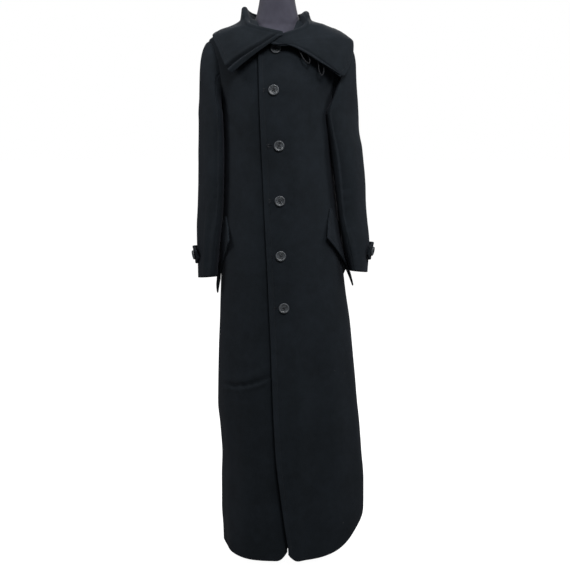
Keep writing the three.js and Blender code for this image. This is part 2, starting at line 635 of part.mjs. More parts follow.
// A tab lies on the sleeve at its sewn end and stands off at its free end, most along its upper side.
function tabStandOff(degrees, share) {
  const free = smooth(TAB_FROM, TAB_TO - 20, degrees);
  return TAB_CLEAR + TURNED_CLOTH + TAB_STAND * free * (0.55 + 0.45 * share);
}

// A cuff tab follows the sleeve's outer face from the back seam round to its pointed free end.
function cuffTab(arm) {
  const across = [1, 0.4, -0.4, -1];
  const grid = across.map((share) =>
    Array.from({ length: TAB_STEPS + 1 }, (_, j) => {
      const degrees = mix(TAB_FROM, TAB_TO, j / TAB_STEPS);
      const half = (TAB_WIDTH / 2) * Math.min(1, 0.4 + (0.6 * (TAB_TO - degrees)) / TAB_POINT);
      return sleevePoint(arm, arm.tab + half * share, radians(degrees), tabStandOff(degrees, share));
    }),
  );
  return wall(grid, TURNED_CLOTH, arm.hand);
}

// A round button: a dished face inside a raised rim, a bevelled back.
function buttonGeometry(radius) {
  const profile = [
    [0, 0],
    [radius * 0.72, 0],
    [radius, BUTTON_THICK * 0.42],
    [radius * 0.95, BUTTON_THICK * 0.86],
    [radius * 0.82, BUTTON_THICK],
    [radius * 0.66, BUTTON_THICK * 0.62],
    [0, BUTTON_THICK * 0.55],
  ];
  const turned = new THREE.LatheGeometry(profile.map(([r, h]) => new THREE.Vector2(r, h)), BUTTON_SIDES);
  return turned.rotateX(Math.PI / 2); // the lathe's axis becomes +Z
}

// Sets a button face outwards on a surface point.
function placeButton(name, radius, point, normal) {
  const mesh = add(name, buttonGeometry(radius), MATERIALS.button);
  mesh.position.copy(point).addScaledVector(normal, BUTTON_GAP);
  mesh.quaternion.setFromUnitVectors(new THREE.Vector3(0, 0, 1), normal);
}

function frontButtons() {
  BUTTONS.forEach((button, k) => {
    const surface = (dx, dz) => {
      const [x, z] = [button.x + dx, button.z + dz];
      return bodyPoint(angleAcross(row(BODY, "z", z), x), z, lapRaise(x, z));
    };
    const across = surface(BUTTON_R, 0).sub(surface(-BUTTON_R, 0));
    const up = surface(0, BUTTON_R).sub(surface(0, -BUTTON_R));
    placeButton("button_" + (k + 1), BUTTON_R, surface(0, 0), across.cross(up).normalize());
  });
}

function cuffButton(name, arm) {
  const at = (degrees, share) => {
    const out = tabStandOff(degrees, share);
    return sleevePoint(arm, arm.tab + (TAB_WIDTH / 2) * share, radians(degrees), out);
  };
  const across = at(TAB_BUTTON + 6, 0).sub(at(TAB_BUTTON - 6, 0));
  const up = at(TAB_BUTTON, 0.4).sub(at(TAB_BUTTON, -0.4));
  const normal = across.cross(up).multiplyScalar(-arm.hand).normalize();
  placeButton(name, CUFF_BUTTON_R, at(TAB_BUTTON, 0), normal);
}

// A loop of thin cord that hangs from under the collar's left edge, close to the collar's inner face.
function collarLoop(name, { share, tilt }) {
  const end = row(COLLAR, "share", 1);
  const height = mix(end.top - end.radius, end.low, share) - sag(end.bow, share);
  const middle = radians(mix(end.roll, end.edge, share));
  const swing = radians(tilt);
  const half = LOOP_WIDTH / 2;
  const path = [
    [-half * 0.7, -LOOP_TUCK],
    [-half, 0],
    [-half, LOOP_LENGTH * 0.6],
    [0, LOOP_LENGTH],
    [half, LOOP_LENGTH * 0.6],
    [half, 0],
    [half * 0.7, -LOOP_TUCK],
  ].map(([across, down]) => {
    const along = across * Math.cos(swing) + down * Math.sin(swing);
    const z = height + across * Math.sin(swing) - down * Math.cos(swing);
    const section = row(COLLAR_SURFACE, "z", z);
    const lift = end.lift - TURNED_CLOTH - LOOP_R - LOOP_CLEAR;
    const [x, y] = onSection(section, middle + along / section.front, lift);
    return new THREE.Vector3(x, y, z);
  });
  const ring = new THREE.Shape(
    Array.from({ length: LOOP_SIDES }, (_, k) => {
      const turn = (2 * Math.PI * k) / LOOP_SIDES;
      return new THREE.Vector2(LOOP_R * Math.cos(turn), LOOP_R * Math.sin(turn));
    }),
  );
  const extrudePath = new THREE.CatmullRomCurve3(path);
  const options = { steps: LOOP_STEPS, bevelEnabled: false, extrudePath };
  add(name, new THREE.ExtrudeGeometry(ring, options), MATERIALS.cloth);
}

// The form's padded torso and neck, closed at both ends.
function formTorso() {
  const heights = FORM.map((section) => section.z);
  const rings = heights.map((z) =>
    Array.from({ length: FORM_STEPS }, (_, k) => {
      const [x, y] = onSection(row(FORM, "z", z), (2 * Math.PI * k) / FORM_STEPS);
      return new THREE.Vector3(x, y, z);
    }),
  );
  const points = rings.flat();
  const bottom = points.push(new THREE.Vector3(0, 0, heights[0])) - 1;
  const top = points.push(new THREE.Vector3(0, 0, heights[heights.length - 1] + 3)) - 1;
  const last = rings.length - 1;
  const faces = [];
  for (let k = 0; k < FORM_STEPS; k++) {
    const next = (k + 1) % FORM_STEPS;
    for (let i = 0; i < last; i++) {
      const [a, b] = [i * FORM_STEPS + k, i * FORM_STEPS + next];
      faces.push(a, b, b + FORM_STEPS, a, b + FORM_STEPS, a + FORM_STEPS);
    }
    faces.push(bottom, next, k, top, last * FORM_STEPS + k, last * FORM_STEPS + next);
  }
  return closed(points, faces);
}

// The pole stands on a small flange on the base.
function pole() {
  const foot = LEG_THICK + 0.3;
  const profile = [
    [0, foot],
    [FOOT_R, foot],
    [FOOT_R, foot + 5],
    [POLE_R + 5, foot + 9],
    [POLE_R, foot + 20],
    [POLE_R, POLE_TOP],
    [0, POLE_TOP],
  ];
  return new THREE.LatheGeometry(profile.map(([r, h]) => new THREE.Vector2(r, h)), 20).rotateX(Math.PI / 2);
}

// Four flat legs in a cross, set diagonally, with round ends.
function crossBase() {
  const outline = [];
  for (let leg = 0; leg < 4; leg++) {
    const turn = (leg * Math.PI) / 2 + Math.PI / 4;
    const spin = (x, y) => [x * Math.cos(turn) - y * Math.sin(turn), x * Math.sin(turn) + y * Math.cos(turn)];
    for (let k = 0; k <= LEG_END_STEPS; k++) {
      const a = -Math.PI / 2 + (Math.PI * k) / LEG_END_STEPS;
      const [x, y] = spin(LEG_REACH - LEG_HALF + LEG_HALF * Math.cos(a), LEG_HALF * Math.sin(a));
      outline.push(new THREE.Vector2(x, y));
    }
    outline.push(new THREE.Vector2(...spin(LEG_HALF, LEG_HALF)));
  }
  return new THREE.ExtrudeGeometry(new THREE.Shape(outline), { depth: LEG_THICK, bevelEnabled: false });
}

add("left_front", front(1), MATERIALS.cloth);
add("right_front", front(-1), MATERIALS.cloth);
add("back", back(), MATERIALS.cloth);
add("right_sleeve_upper", sleeveHalf(RIGHT_ARM, 0), MATERIALS.cloth);
add("right_sleeve_under", sleeveHalf(RIGHT_ARM, Math.PI), MATERIALS.cloth);
add("left_sleeve_upper", sleeveHalf(LEFT_ARM, 0), MATERIALS.cloth);
add("left_sleeve_under", sleeveHalf(LEFT_ARM, Math.PI), MATERIALS.cloth);
add("collar", collar(), MATERIALS.cloth);
add("right_flap", flap(RIGHT_FLAP), MATERIALS.cloth);
add("left_flap", flap(LEFT_FLAP), MATERIALS.cloth);
add("right_cuff_tab", cuffTab(RIGHT_ARM), MATERIALS.cloth);
add("left_cuff_tab", cuffTab(LEFT_ARM), MATERIALS.cloth);
frontButtons();
cuffButton("right_cuff_button", RIGHT_ARM);
cuffButton("left_cuff_button", LEFT_ARM);
LOOPS.forEach((loop, k) => collarLoop("collar_loop_" + (k + 1), loop));
add("form_torso", formTorso(), MATERIALS.form);
add("form_pole", pole(), MATERIALS.steel);
add("form_base", crossBase(), MATERIALS.steel);

export default coat;
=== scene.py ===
"""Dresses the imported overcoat: cloth shells with creases, seams and stitching, horn buttons, the covered form
and a plain stage."""

import math

import bpy
import numpy as np
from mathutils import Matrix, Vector


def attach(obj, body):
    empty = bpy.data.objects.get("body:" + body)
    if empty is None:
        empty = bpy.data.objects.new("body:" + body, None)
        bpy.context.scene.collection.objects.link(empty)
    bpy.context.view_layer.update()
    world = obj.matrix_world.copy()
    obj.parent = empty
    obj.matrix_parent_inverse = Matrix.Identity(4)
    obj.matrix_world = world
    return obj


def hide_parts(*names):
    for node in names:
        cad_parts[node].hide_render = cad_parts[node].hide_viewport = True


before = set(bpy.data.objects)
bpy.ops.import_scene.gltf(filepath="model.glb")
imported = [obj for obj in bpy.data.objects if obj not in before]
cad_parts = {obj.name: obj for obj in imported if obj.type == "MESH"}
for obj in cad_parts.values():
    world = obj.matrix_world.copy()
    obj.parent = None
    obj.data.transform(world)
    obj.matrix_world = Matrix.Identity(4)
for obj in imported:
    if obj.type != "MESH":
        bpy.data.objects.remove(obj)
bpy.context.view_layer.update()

bl_info = {
    "name": "Overcoat on a dress form",
    "version": (1, 0, 0),
    "blender": (4, 5, 0),
    "location": "3D View > Sidebar > Overcoat",
    "description": "Builds a long melton overcoat around the packed frame",
    "category": "Add Mesh",
}

MM = 0.001
TINY = 1e-9

# The garment's measures, in millimetres, as in the part's source. First the cloth, its seams and the lap.
CLOTH = 2.5
TURNED_CLOTH = 4.5
SEAM = 0.4
LAP_RAISE = 4.1
LAP_FADE = 50

# The coat's levels, its hem and neckline, and its rounded lower corners
CHEST_Z = 1000
SKIRT_Z = 500
NECK_Z = 1412
HEM_Z = 19
LEFT_HEM_RISE = 104
BACK_HEM_RISE = 52
FRONT_NECK_DROP = 62
BACK_NECK_RISE = 5
SHOULDER_Z = 1368
UNDERARM_Z = 1196
ARMHOLE_FRONT = 60
ARMHOLE_BACK = 66
CORNER_RISE = 22
CORNER_REACH = 28
EDGE_LIFT = 6

# How the left front's edge curls up, and the trough under it in the right front
CURL = 2.6
CURL_WIDTH = 11
TROUGH = 4.4
TROUGH_WIDTH = 12

# The sleeves
ARM_MID = (SHOULDER_Z + UNDERARM_Z) / 2
ARM_HALF = (SHOULDER_Z - UNDERARM_Z) / 2
CUFF_RISE = 11
CUFF_RISE_TO = 940
SLEEVE_CLEAR = 3
ARMHOLE_TUCK = 6
SEAM_TURN = SEAM / 24

# The collar's stand and the height of its rolled right end, the pocket flaps, and the cuff tabs in
# millimetres and in degrees round the sleeve
STAND_INSET = 3.4
STAND_RISE = 4.6
STAND_UPRIGHT = 5
COLLAR_BAND = 7
FLAP_CLEAR = 0.8
FLAP_HUG = 4
TAB_WIDTH = 44
TAB_CLEAR = 1.2
TAB_FROM = -66
TAB_TO = 12
TAB_POINT = 14
TAB_STAND = 9
TAB_BUTTON = -6

# The buttons and the cord loops under the collar
BUTTON_R = 13.2
CUFF_BUTTON_R = 12.5
BUTTON_THICK = 4.6
BUTTON_GAP = 0.5
HOLE_R = 1.15
HOLE_AWAY = 2.35
HOLE_DEEP = 2.0
BUTTONHOLE = 29
BUTTONHOLE_SHIFT = 12.5
LOOP_R = 1.6
LOOP_CLEAR = 1.4
LOOP_LENGTH = 27
LOOP_WIDTH = 10
LOOP_TUCK = 12

# Machine stitches, thread, and the rings of points round a sheet's rounded rim
STITCH = 3.4
STITCH_GAP = 1.3
THREAD_R = 0.38
STITCH_HEIGHT = 0.35
STITCH_SINK = 0.15
RIM = 4

# The back's two soft folds behind the arms: degrees round the body, depth, and heights where they die away
BACK_FOLDS = ((110, 29, 890, 1010), (250, 25, 900, 1000))
BACK_FOLD_WIDTH = 7
BACK_FOLD_RISE = (724, 780)

# The form's torso from its foot to the top of its lid
FORM_FOOT = 716
FORM_TOP = 1499
FORM_LID = 3

# The camera's lens: focal length and picture width in pixels, and the sensor's width in millimetres
FOCAL_PIXELS = 1013
PICTURE_PIXELS = 570
SENSOR = 36.0

# Soft boxes: name, place, target, size in metres, and power as a share of the key light
SOFT_BOXES = (
    ("right_box", (2.1, -0.5, 2.7), (0, 0, 1.2), 1.0, 0.62),
    ("left_box", (-2.1, -0.4, 2.7), (0, 0, 1.2), 1.0, 0.7),
    ("front_box", (0.55, -1.95, 2.9), (0, 0, 1.25), 0.9, 1.1),
    ("back_box", (0.2, 2.6, 2.9), (0, 0, 0.9), 2.0, 1.3),
)

# Pairs of linear colours, dark and pale, and single ones
HORN = (0.0065, 0.0075, 0.0088), (0.078, 0.086, 0.095)
HORN_RIM = (0.062, 0.068, 0.076)
# The next colour is painted shade: near-black laid in the bottoms of the button holes, not a colour of the horn
HORN_HOLE_SHADE = (0.01, 0.01, 0.011)
JERSEY = (0.028, 0.027, 0.038), (0.052, 0.051, 0.07)
PAINT = (0.02, 0.02, 0.022), (0.05, 0.05, 0.052)
CORD = (0.0035, 0.0042, 0.0055), (0.009, 0.0102, 0.0128)
THREAD = (0.006, 0.0063, 0.008), (0.017, 0.0175, 0.021)
FLOOR = (0.24, 0.24, 0.24), (0.26, 0.26, 0.26)
LINT = (0.22, 0.21, 0.2)
SHEEN_TINT = (0.62, 0.64, 0.85, 1)


def columns(names, rows):
    """A table of named columns, each a numpy array."""
    return dict(zip(names.split(), np.array(rows, float).T))


# The columns of the tables: level sections, sleeve sections and creases
SECTION = "z right left front back power"
SLEEVE = "z centre thick depth mid twist"
CREASE = "x0 z0 xm zm x1 z1 width depth lean"

BODY = columns(SECTION, [
    (0, 150, 222, 180, 164, 2.4),
    (60, 152, 228, 179, 164, 2.4),
    (118, 155, 236, 178, 164, 2.35),
    (191, 155, 237, 175, 163, 2.2),
    (263, 153, 231, 172, 160, 2.2),
    (349, 158, 224, 168, 155, 2.2),
    (406, 163, 217.5, 165, 152, 2.2),
    (547, 160, 204, 158, 145, 2.2),
    (630, 156, 195.5, 155, 140, 2.2),
    (712, 153, 183, 151, 135, 2.2),
    (850, 148, 167, 144, 127, 2.2),
    (929, 145, 159, 140, 121, 2.2),
    (1008, 143, 151, 135, 114, 2.2),
    (1087, 142, 146, 132, 111, 2.2),
    (1196, 144, 145, 130, 114, 2.2),
    (1250, 156, 156, 126, 119, 2.2),
    (1300, 170, 170, 114, 116, 2.1),
    (1340, 179, 179, 97, 107, 2.0),
    (1368, 178, 178, 82, 95, 1.85),
    (1379, 167, 167, 76, 89, 1.7),
    (1386, 154, 154, 71, 84, 1.6),
    (1394, 128, 128, 66, 79, 1.6),
    (1402, 104, 104, 61, 74, 1.6),
    (1412, 75, 75, 52, 65, 1.6),
])
FOLDS = columns("angle spread depth high", [
    (-28, 13, 3.0, 620),
    (-68, 10, -4.0, 760),
    (38, 14, -3.0, 560),
    (74, 10, 4.5, 700),
    (112, 11, -5.0, 860),
    (141, 12, 5.5, 980),
    (168, 11, -4.5, 900),
    (196, 12, 5.0, 1010),
    (226, 11, -5.0, 880),
    (252, 10, 4.0, 760),
])
FRONT_EDGES = columns("z upper lower", [
    (0, 28, 26),
    (38, 28, 26),
    (130, 17, 36),
    (318, -4, 45),
    (634, -17, 50),
    (840, -26, 45),
    (1091, -37, 36),
    (1312, -45, 31),
    (1412, -46, 30),
])
RIGHT_SLEEVE = columns(SLEEVE, [
    (752, 187, 24, 64, -16, 14),
    (850, 183.7, 26, 69, -14, 18.5),
    (930, 179, 27.5, 74, -11, 21),
    (1008, 176, 27, 78, -8, 21),
    (1090, 176, 26, 81, -4, 21),
    (1180, 176, 25, 82, 0, 19),
])
LEFT_SLEEVE = columns(SLEEVE, [
    (767, 217.5, 21, 64, -16, 16),
    (850, 209, 30, 71, -13, 21),
    (930, 198, 29.5, 76, -9, 24),
    (1008, 192, 33, 80, -9, 24),
    (1090, 183, 32.4, 83, -10, 24.5),
    (1145, 174, 28.1, 86, -10, 25),
    (1180, 170, 28.3, 88, -10, 26),
])
RIGHT_ARM = {"hand": -1, "table": RIGHT_SLEEVE, "fullness": 0.66, "tab": 812}
LEFT_ARM = {"hand": 1, "table": LEFT_SLEEVE, "fullness": 0.86, "tab": 822}
COLLAR_SURFACE = columns(SECTION, [
    (1260, 193, 203, 144, 132, 2.1),
    (1290, 191, 202, 138, 129, 2.1),
    (1320, 188, 200, 129, 125, 2.1),
    (1350, 184, 199, 116, 120, 2.05),
    (1368, 179, 197, 106, 116, 2.0),
    (1381, 172, 182, 98, 112, 2.0),
    (1396, 149, 156, 89, 107, 2.0),
    (1404, 124.5, 136, 85, 104, 2.0),
    (1412, 107, 112, 81, 101, 2.0),
    (1420, 97, 89, 77, 97, 2.0),
    (1436, 94, 83, 72, 92, 2.0),
    (1450, 92, 80, 68, 88, 2.0),
])
COLLAR = columns("share neck roll edge top radius low lift bow", [
    (0, -2, 4, -33, 1385, 8, 1281, 9, 0),
    (0.06, -20, -17, -41, 1399, 8, 1306, 7, 0),
    (0.14, -45, -45, -54, 1418, 9, 1352, 4, 0),
    (0.22, -75, -76, -75, 1447, 9, 1382, 1, 0),
    (0.27, -90, -90, -90, 1455, 8, 1388, 0, 0),
    (0.38, -135, -135, -135, 1443, 9, 1352, 0, 0),
    (0.5, -180, -180, -180, 1438, 10, 1322, 0, 0),
    (0.62, -225, -225, -225, 1441, 10, 1340, 0, 0),
    (0.73, -270, -270, -270, 1444, 9, 1360, 0, 0),
    (0.8, -290, -290, -284, 1440, 10, 1331, 1, 0),
    (0.88, -315, -315, -296, 1423, 10, 1301, 2, 0),
    (0.94, -338, -339, -301, 1396, 8, 1286.5, 3, -5),
    (0.97, -348.5, -353, -307, 1383, 7.5, 1276, 3, -8),
    (1, -359, -367, -313, 1369, 7, 1280, 3, -9.5),
])
FLAPS = {
    "right_flap": {"hand": -1, "z": (917, 795), "depth": (70, -34),
                   "front": (127, -105, 856), "rear": (165, 20, 703), "bow": 2, "bulge": 7},
    "left_flap": {"hand": 1, "z": (940, 812), "depth": (80, -34),
                  "front": (131, -114, 867), "rear": (206, 20, 724), "bow": 13, "bulge": 1},
}
BUTTONS = columns("x z", [(-3, 1341), (-8, 1239), (5, 1101), (7, 963), (9, 824), (17, 691)])
LOOPS = columns("share tilt", [(0.48, 20), (0.74, 2)])
FORM = columns(SECTION, [
    (716, 92, 92, 74, 72, 2.0),
    (724, 118, 118, 92, 90, 2.0),
    (760, 130, 130, 102, 102, 2.1),
    (830, 131, 131, 104, 106, 2.1),
    (920, 117, 117, 96, 94, 2.1),
    (1000, 103, 103, 88, 78, 2.1),
    (1080, 110, 110, 96, 84, 2.1),
    (1170, 124, 124, 114, 98, 2.1),
    (1240, 138, 138, 112, 105, 2.1),
    (1290, 150, 150, 100, 104, 2.0),
    (1330, 160, 160, 82, 95, 1.95),
    (1356, 163, 163, 69, 85, 1.85),
    (1376, 160, 160, 60, 76, 1.7),
    (1383, 152, 152, 57, 73, 1.6),
    (1391, 127, 127, 54, 69, 1.6),
    (1399, 102, 102, 51, 65, 1.6),
    (1408, 69, 69, 48, 57, 1.7),
    (1420, 58, 58, 46, 53, 2.0),
    (1440, 52, 52, 45, 51, 2.0),
    (1470, 46, 46, 44, 48, 2.0),
    (1492, 43.5, 43.5, 42, 46, 2.0),
    (1499, 37, 37, 36, 39, 2.0),
])

# Creases listed, as seen from the front or from behind: each bends from its first place past its middle
# to its last one. depth is below zero for a trough, and lean turns it into a step.
FRONT_CREASES = columns(CREASE, [
    (-150, 474, -88, 474, -8, 516, 3.6, -5.2, 0.6),
    (-150, 466, -88, 466, -8, 508, 4.4, 3.4, 0.0),
    (-148, 488, -100, 490, -20, 530, 9.0, 1.8, 0.0),
    (-120, 458, -90, 460, -50, 470, 8.0, 1.4, 0.0),
    (-26, 748, 4, 744, 34, 749, 6.0, -0.8, 0.6),
    (2, 918, 14, 926, 30, 938, 5.0, -1.2, 0.5),
    (-92, 560, -84, 330, -78, 60, 24.0, 2.2, 0.0),
    (-48, 520, -42, 300, -38, 50, 22.0, -2.4, 0.0),
    (-118, 640, -122, 350, -116, 70, 17.0, -2.0, 0.0),
    (44, 560, 52, 330, 52, 60, 18.0, 2.4, 0.0),
    (86, 620, 100, 330, 104, 70, 24.0, -3.0, 0.0),
    (128, 760, 150, 420, 168, 110, 22.0, 2.6, 0.0),
    (176, 560, 200, 300, 206, 150, 16.0, -2.2, 0.0),
    (66, 900, 74, 800, 70, 700, 20.0, -1.2, 0.0),
    (-70, 1010, -74, 900, -72, 760, 18.0, 1.2, 0.0),
    (-96, 1130, -78, 1060, -68, 960, 13.0, -1.6, 0.0),
    (-128, 1180, -106, 1130, -84, 1110, 9.0, -1.5, 0.4),
    (-126, 1150, -112, 1100, -104, 1040, 10.0, 1.2, 0.0),
    (126, 1185, 104, 1130, 84, 1100, 9.0, -1.6, -0.4),
    (128, 1150, 112, 1090, 106, 1020, 10.0, 1.4, 0.0),
    (70, 1240, 66, 1180, 60, 1110, 15.0, -1.2, 0.0),
    (-66, 1290, -62, 1200, -60, 1120, 14.0, 1.0, 0.0),
    (-30, 690, -40, 640, -38, 560, 9.0, -0.9, 0.0),
    (28, 664, 46, 628, 60, 560, 9.0, -0.9, 0.0),
    (120, 480, 90, 450, 60, 446, 8.0, -0.7, 0.5),
])
BACK_CREASES = columns(CREASE, [
    (-120, 1180, -96, 1120, -70, 1090, 10.0, -2.0, 0.4),
    (122, 1184, 98, 1128, 74, 1094, 10.0, -1.9, -0.4),
    (-112, 1140, -100, 1060, -92, 960, 11.0, 1.6, 0.0),
    (110, 1136, 104, 1060, 96, 950, 11.0, 1.5, 0.0),
    (-60, 1000, -10, 988, 46, 1004, 9.0, -1.0, 0.6),
    (-44, 1034, 4, 1024, 58, 1040, 9.0, -0.8, -0.5),
    (-90, 900, -96, 500, -104, 90, 20.0, 3.2, 0.0),
    (-36, 840, -40, 460, -34, 80, 19.0, -3.2, 0.0),
    (22, 900, 30, 500, 38, 80, 22.0, 3.0, 0.0),
    (84, 860, 98, 480, 110, 100, 19.0, -3.0, 0.0),
    (150, 780, 172, 420, 186, 130, 17.0, 2.6, 0.0),
    (-136, 700, -140, 400, -134, 100, 15.0, -2.2, 0.0),
    (-70, 620, -20, 600, 30, 616, 9.0, -0.8, 0.6),
])
# On the sleeves the places are heights and degrees round the sleeve from its outer side, above zero forward.
RIGHT_SLEEVE_CREASES = columns(CREASE, [
    (40, 960, 40, 850, 46, 742, 9.0, 3.6, 0.0),
    (60, 950, 58, 850, 62, 745, 9.0, -3.0, 0.0),
    (100, 1010, 72, 990, 44, 1004, 8.0, -1.4, 0.5),
    (98, 978, 74, 958, 50, 966, 7.0, -1.2, -0.5),
    (78, 1230, 72, 1080, 74, 880, 15.0, -6.0, 0.0),
    (26, 1200, 34, 1090, 28, 940, 15.0, 2.6, 0.0),
    (-40, 1180, -52, 1080, -50, 960, 12.0, -1.8, 0.0),
    (-100, 1010, -76, 996, -50, 1008, 8.0, -1.6, 0.5),
    (-100, 976, -72, 960, -40, 970, 8.0, -1.4, -0.4),
    (-20, 940, -30, 860, -28, 780, 11.0, 1.4, 0.0),
    (70, 1290, 62, 1230, 68, 1160, 9.0, -1.4, 0.0),
    (-72, 1290, -62, 1230, -66, 1160, 9.0, -1.5, 0.0),
    (170, 1090, 150, 980, 160, 860, 11.0, -1.4, 0.0),
    (-150, 1060, -160, 940, -150, 820, 11.0, -1.4, 0.0),
])
LEFT_SLEEVE_CREASES = columns(CREASE, [
    (80, 1240, 72, 1040, 74, 840, 20.0, -6.5, 0.0),
    (26, 1180, 30, 1030, 28, 850, 18.0, 2.6, 0.0),
    (98, 1004, 70, 984, 40, 992, 8.0, -1.4, 0.5),
    (98, 968, 72, 950, 46, 962, 7.0, -1.2, -0.5),
    (60, 900, 50, 850, 52, 790, 8.0, -1.4, 0.5),
    (-42, 1170, -54, 1070, -50, 950, 12.0, -1.8, 0.0),
    (-100, 1004, -74, 990, -46, 1000, 8.0, -1.6, 0.5),
    (-100, 968, -70, 950, -42, 962, 8.0, -1.4, -0.4),
    (-16, 940, -26, 870, -24, 800, 11.0, 1.4, 0.0),
    (66, 1290, 60, 1230, 66, 1170, 9.0, -1.4, 0.0),
    (-70, 1290, -60, 1230, -64, 1160, 9.0, -1.5, 0.0),
    (168, 1090, 150, 980, 158, 870, 11.0, -1.4, 0.0),
    (-150, 1060, -158, 940, -150, 830, 11.0, -1.4, 0.0),
])
COLLAR_FRONT_CREASES = columns(CREASE, [
    (34, 1384, 74, 1397, 128, 1405, 7.0, 3.6, 0.7),
    (36, 1370, 84, 1380, 140, 1378, 12.0, -2.4, 0.0),
    (60, 1352, 110, 1356, 160, 1330, 13.0, 1.2, 0.0),
    (-24, 1372, -66, 1384, -104, 1400, 12.0, -1.2, 0.0),
    (-60, 1350, -96, 1352, -136, 1366, 13.0, 1.2, 0.0),
])
COLLAR_BACK_CREASES = columns(CREASE, [
    (-90, 1412, -70, 1392, -66, 1360, 12.0, -1.4, 0.0),
    (86, 1410, 74, 1388, 72, 1356, 12.0, -1.4, 0.0),
    (-20, 1390, 4, 1380, 30, 1392, 12.0, 0.9, 0.0),
])


def smooth(low, high, value):
    """3 t^2 - 2 t^3, with t going from 0 at low to 1 at high."""
    t = np.clip((value - low) / (high - low), 0, 1)
    return t * t * (3 - 2 * t)


def mix(a, b, t):
    """a + (b - a) t."""
    return a + (b - a) * t


def hump(distance, width):
    """exp(-(d / width)^2), a soft ridge."""
    return np.exp(-((distance / width) ** 2))


def read(table, key, at):
    """Every column of a table at any places of its key column: a cubic between rows. Its slope at a row is
    the harmonic mean of the slopes beside it, or level where they point opposite ways."""
    knots = table[key]
    at = np.clip(np.asarray(at, float), knots[0], knots[-1])
    i = np.clip(np.searchsorted(knots, at, side="left") - 1, 0, len(knots) - 2)
    span = knots[i + 1] - knots[i]
    t = (at - knots[i]) / span
    found = {}
    for name, values in table.items():
        slopes = np.diff(values) / np.diff(knots)
        product = slopes[:-1] * slopes[1:]
        total = slopes[:-1] + slopes[1:]
        safe = np.where(np.abs(total) > 1e-12, total, 1)
        inner = np.where(product > 0, 2 * product / safe, 0)
        ease = np.concatenate([slopes[:1], inner, slopes[-1:]])
        found[name] = ((2 * t**3 - 3 * t**2 + 1) * values[i] + (t**3 - 2 * t**2 + t) * span * ease[i]
                       + (3 * t**2 - 2 * t**3) * values[i + 1] + (t**3 - t**2) * span * ease[i + 1])
    return found


def on_section(section, angle, out=0.0):
    """x = a sgn(sin t) |sin t|^(2/p) and y = -b sgn(cos t) |cos t|^(2/p), t the angle from centre front."""
    s, c = np.sin(angle), np.cos(angle)
    wide = np.where(s >= 0, section["left"], section["right"]) + out
    deep = np.where(c >= 0, section["front"], section["back"]) + out
    bend = 2 / section["power"]
    return wide * np.sign(s) * np.abs(s) ** bend, -deep * np.sign(c) * np.abs(c) ** bend


def points(x, y, z):
    """The three coordinates as one array of points."""
    return np.stack(np.broadcast_arrays(x, y, z), axis=-1).astype(float)


def angle_across(section, x):
    """The angle at which a section's front half is x from the centre line: asin((|x| / a)^(p / 2))."""
    wide = np.where(x >= 0, section["left"], section["right"])
    return np.sign(x) * np.arcsin(np.minimum(1, (np.abs(x) / wide) ** (section["power"] / 2)))


def angle_along(section, depth, deepest):
    """The angle from the centre to a depth before or behind the side seam: acos((|depth| / b)^(p / 2))."""
    return np.arccos(np.minimum(1, (np.abs(depth) / deepest) ** (section["power"] / 2)))


def fold_depth(angle, z):
    """The sum of depth exp(-((turn - angle) / spread)^2) over the folds, each dying away upwards."""
    turn = (np.degrees(angle) + 80) % 360 - 80
    turn, z = np.broadcast_arrays(turn, z)
    total = np.zeros(turn.shape)
    for middle, spread, depth, high in zip(*(FOLDS[k] for k in ("angle", "spread", "depth", "high"))):
        total += depth * hump(turn - middle, spread) * (1 - smooth(0, high, z))
    return total


def body_points(angle, z, out=0.0):
    """The coat's body at an angle and height, moved out by its folds and by out."""
    x, y = on_section(read(BODY, "z", z), angle, out + fold_depth(angle, z))
    return points(x, y, z)


def hem_height(angle):
    """The hem's height: it lifts at the wearer's left side and a little at the back."""
    turn = (np.degrees(angle) + 180) % 360 - 180
    return HEM_Z + LEFT_HEM_RISE * hump(turn - 92, 34) + BACK_HEM_RISE * hump(np.abs(turn) - 180, 60)


def neck_drop(angle):
    """How far the neckline falls: 62 exp(-(turn / 24)^1.6) in front, and a little rise at the back."""
    turn = np.abs((np.degrees(angle) + 180) % 360 - 180)
    return FRONT_NECK_DROP * np.exp(-((turn / 24) ** 1.6)) - BACK_NECK_RISE * smooth(90, 180, turn)


def level_height(level, angle, corner=0.0):
    """The true height of a level row: raised to the hem below and dropped to the neckline above."""
    hem = (hem_height(angle) + corner) * (1 - np.minimum(level / SKIRT_Z, 1)) ** 2
    return level + hem - neck_drop(angle) * smooth(CHEST_Z, NECK_Z, level)


def armhole_depth(level, deepest):
    """Half the depth of the armhole's ellipse at a level: b sqrt(1 - u^2)."""
    up = (level - ARM_MID) / ARM_HALF
    return np.maximum(deepest * np.sqrt(np.maximum(1 - up**2, 0)), SEAM / 2)


def lap_raise(x, z):
    """How far the upper front stands forward of the lower one."""
    edges = read(FRONT_EDGES, "z", z)
    swing = EDGE_LIFT * (1 - smooth(150, 700, z)) * (1 - smooth(0, 60, x - edges["upper"]))
    return LAP_RAISE * (1 - smooth(edges["lower"] + 4, edges["lower"] + 4 + LAP_FADE, x)) + swing


def panel_levels():
    """The rows of a body panel: even below the armhole, closer at its ends and at the shoulder."""
    below = np.linspace(0, UNDERARM_Z, 196)[:-1]
    arm = ARM_MID - ARM_HALF * np.cos(np.linspace(0, math.pi, 41))
    above = np.linspace(SHOULDER_Z, NECK_Z, 14)[1:]
    return np.concatenate([below, arm, above])[:, None]


def unit(vectors):
    """The vectors at length 1; one of no length stays as it is."""
    return vectors / np.maximum(np.linalg.norm(vectors, axis=-1, keepdims=True), TINY)


def normals(grid, sign=1.0):
    """Unit normals of a grid of points: the cross product of its slopes along the columns and up the rows."""
    n = np.cross(np.gradient(grid, axis=1), np.gradient(grid, axis=0))
    return sign * unit(n)


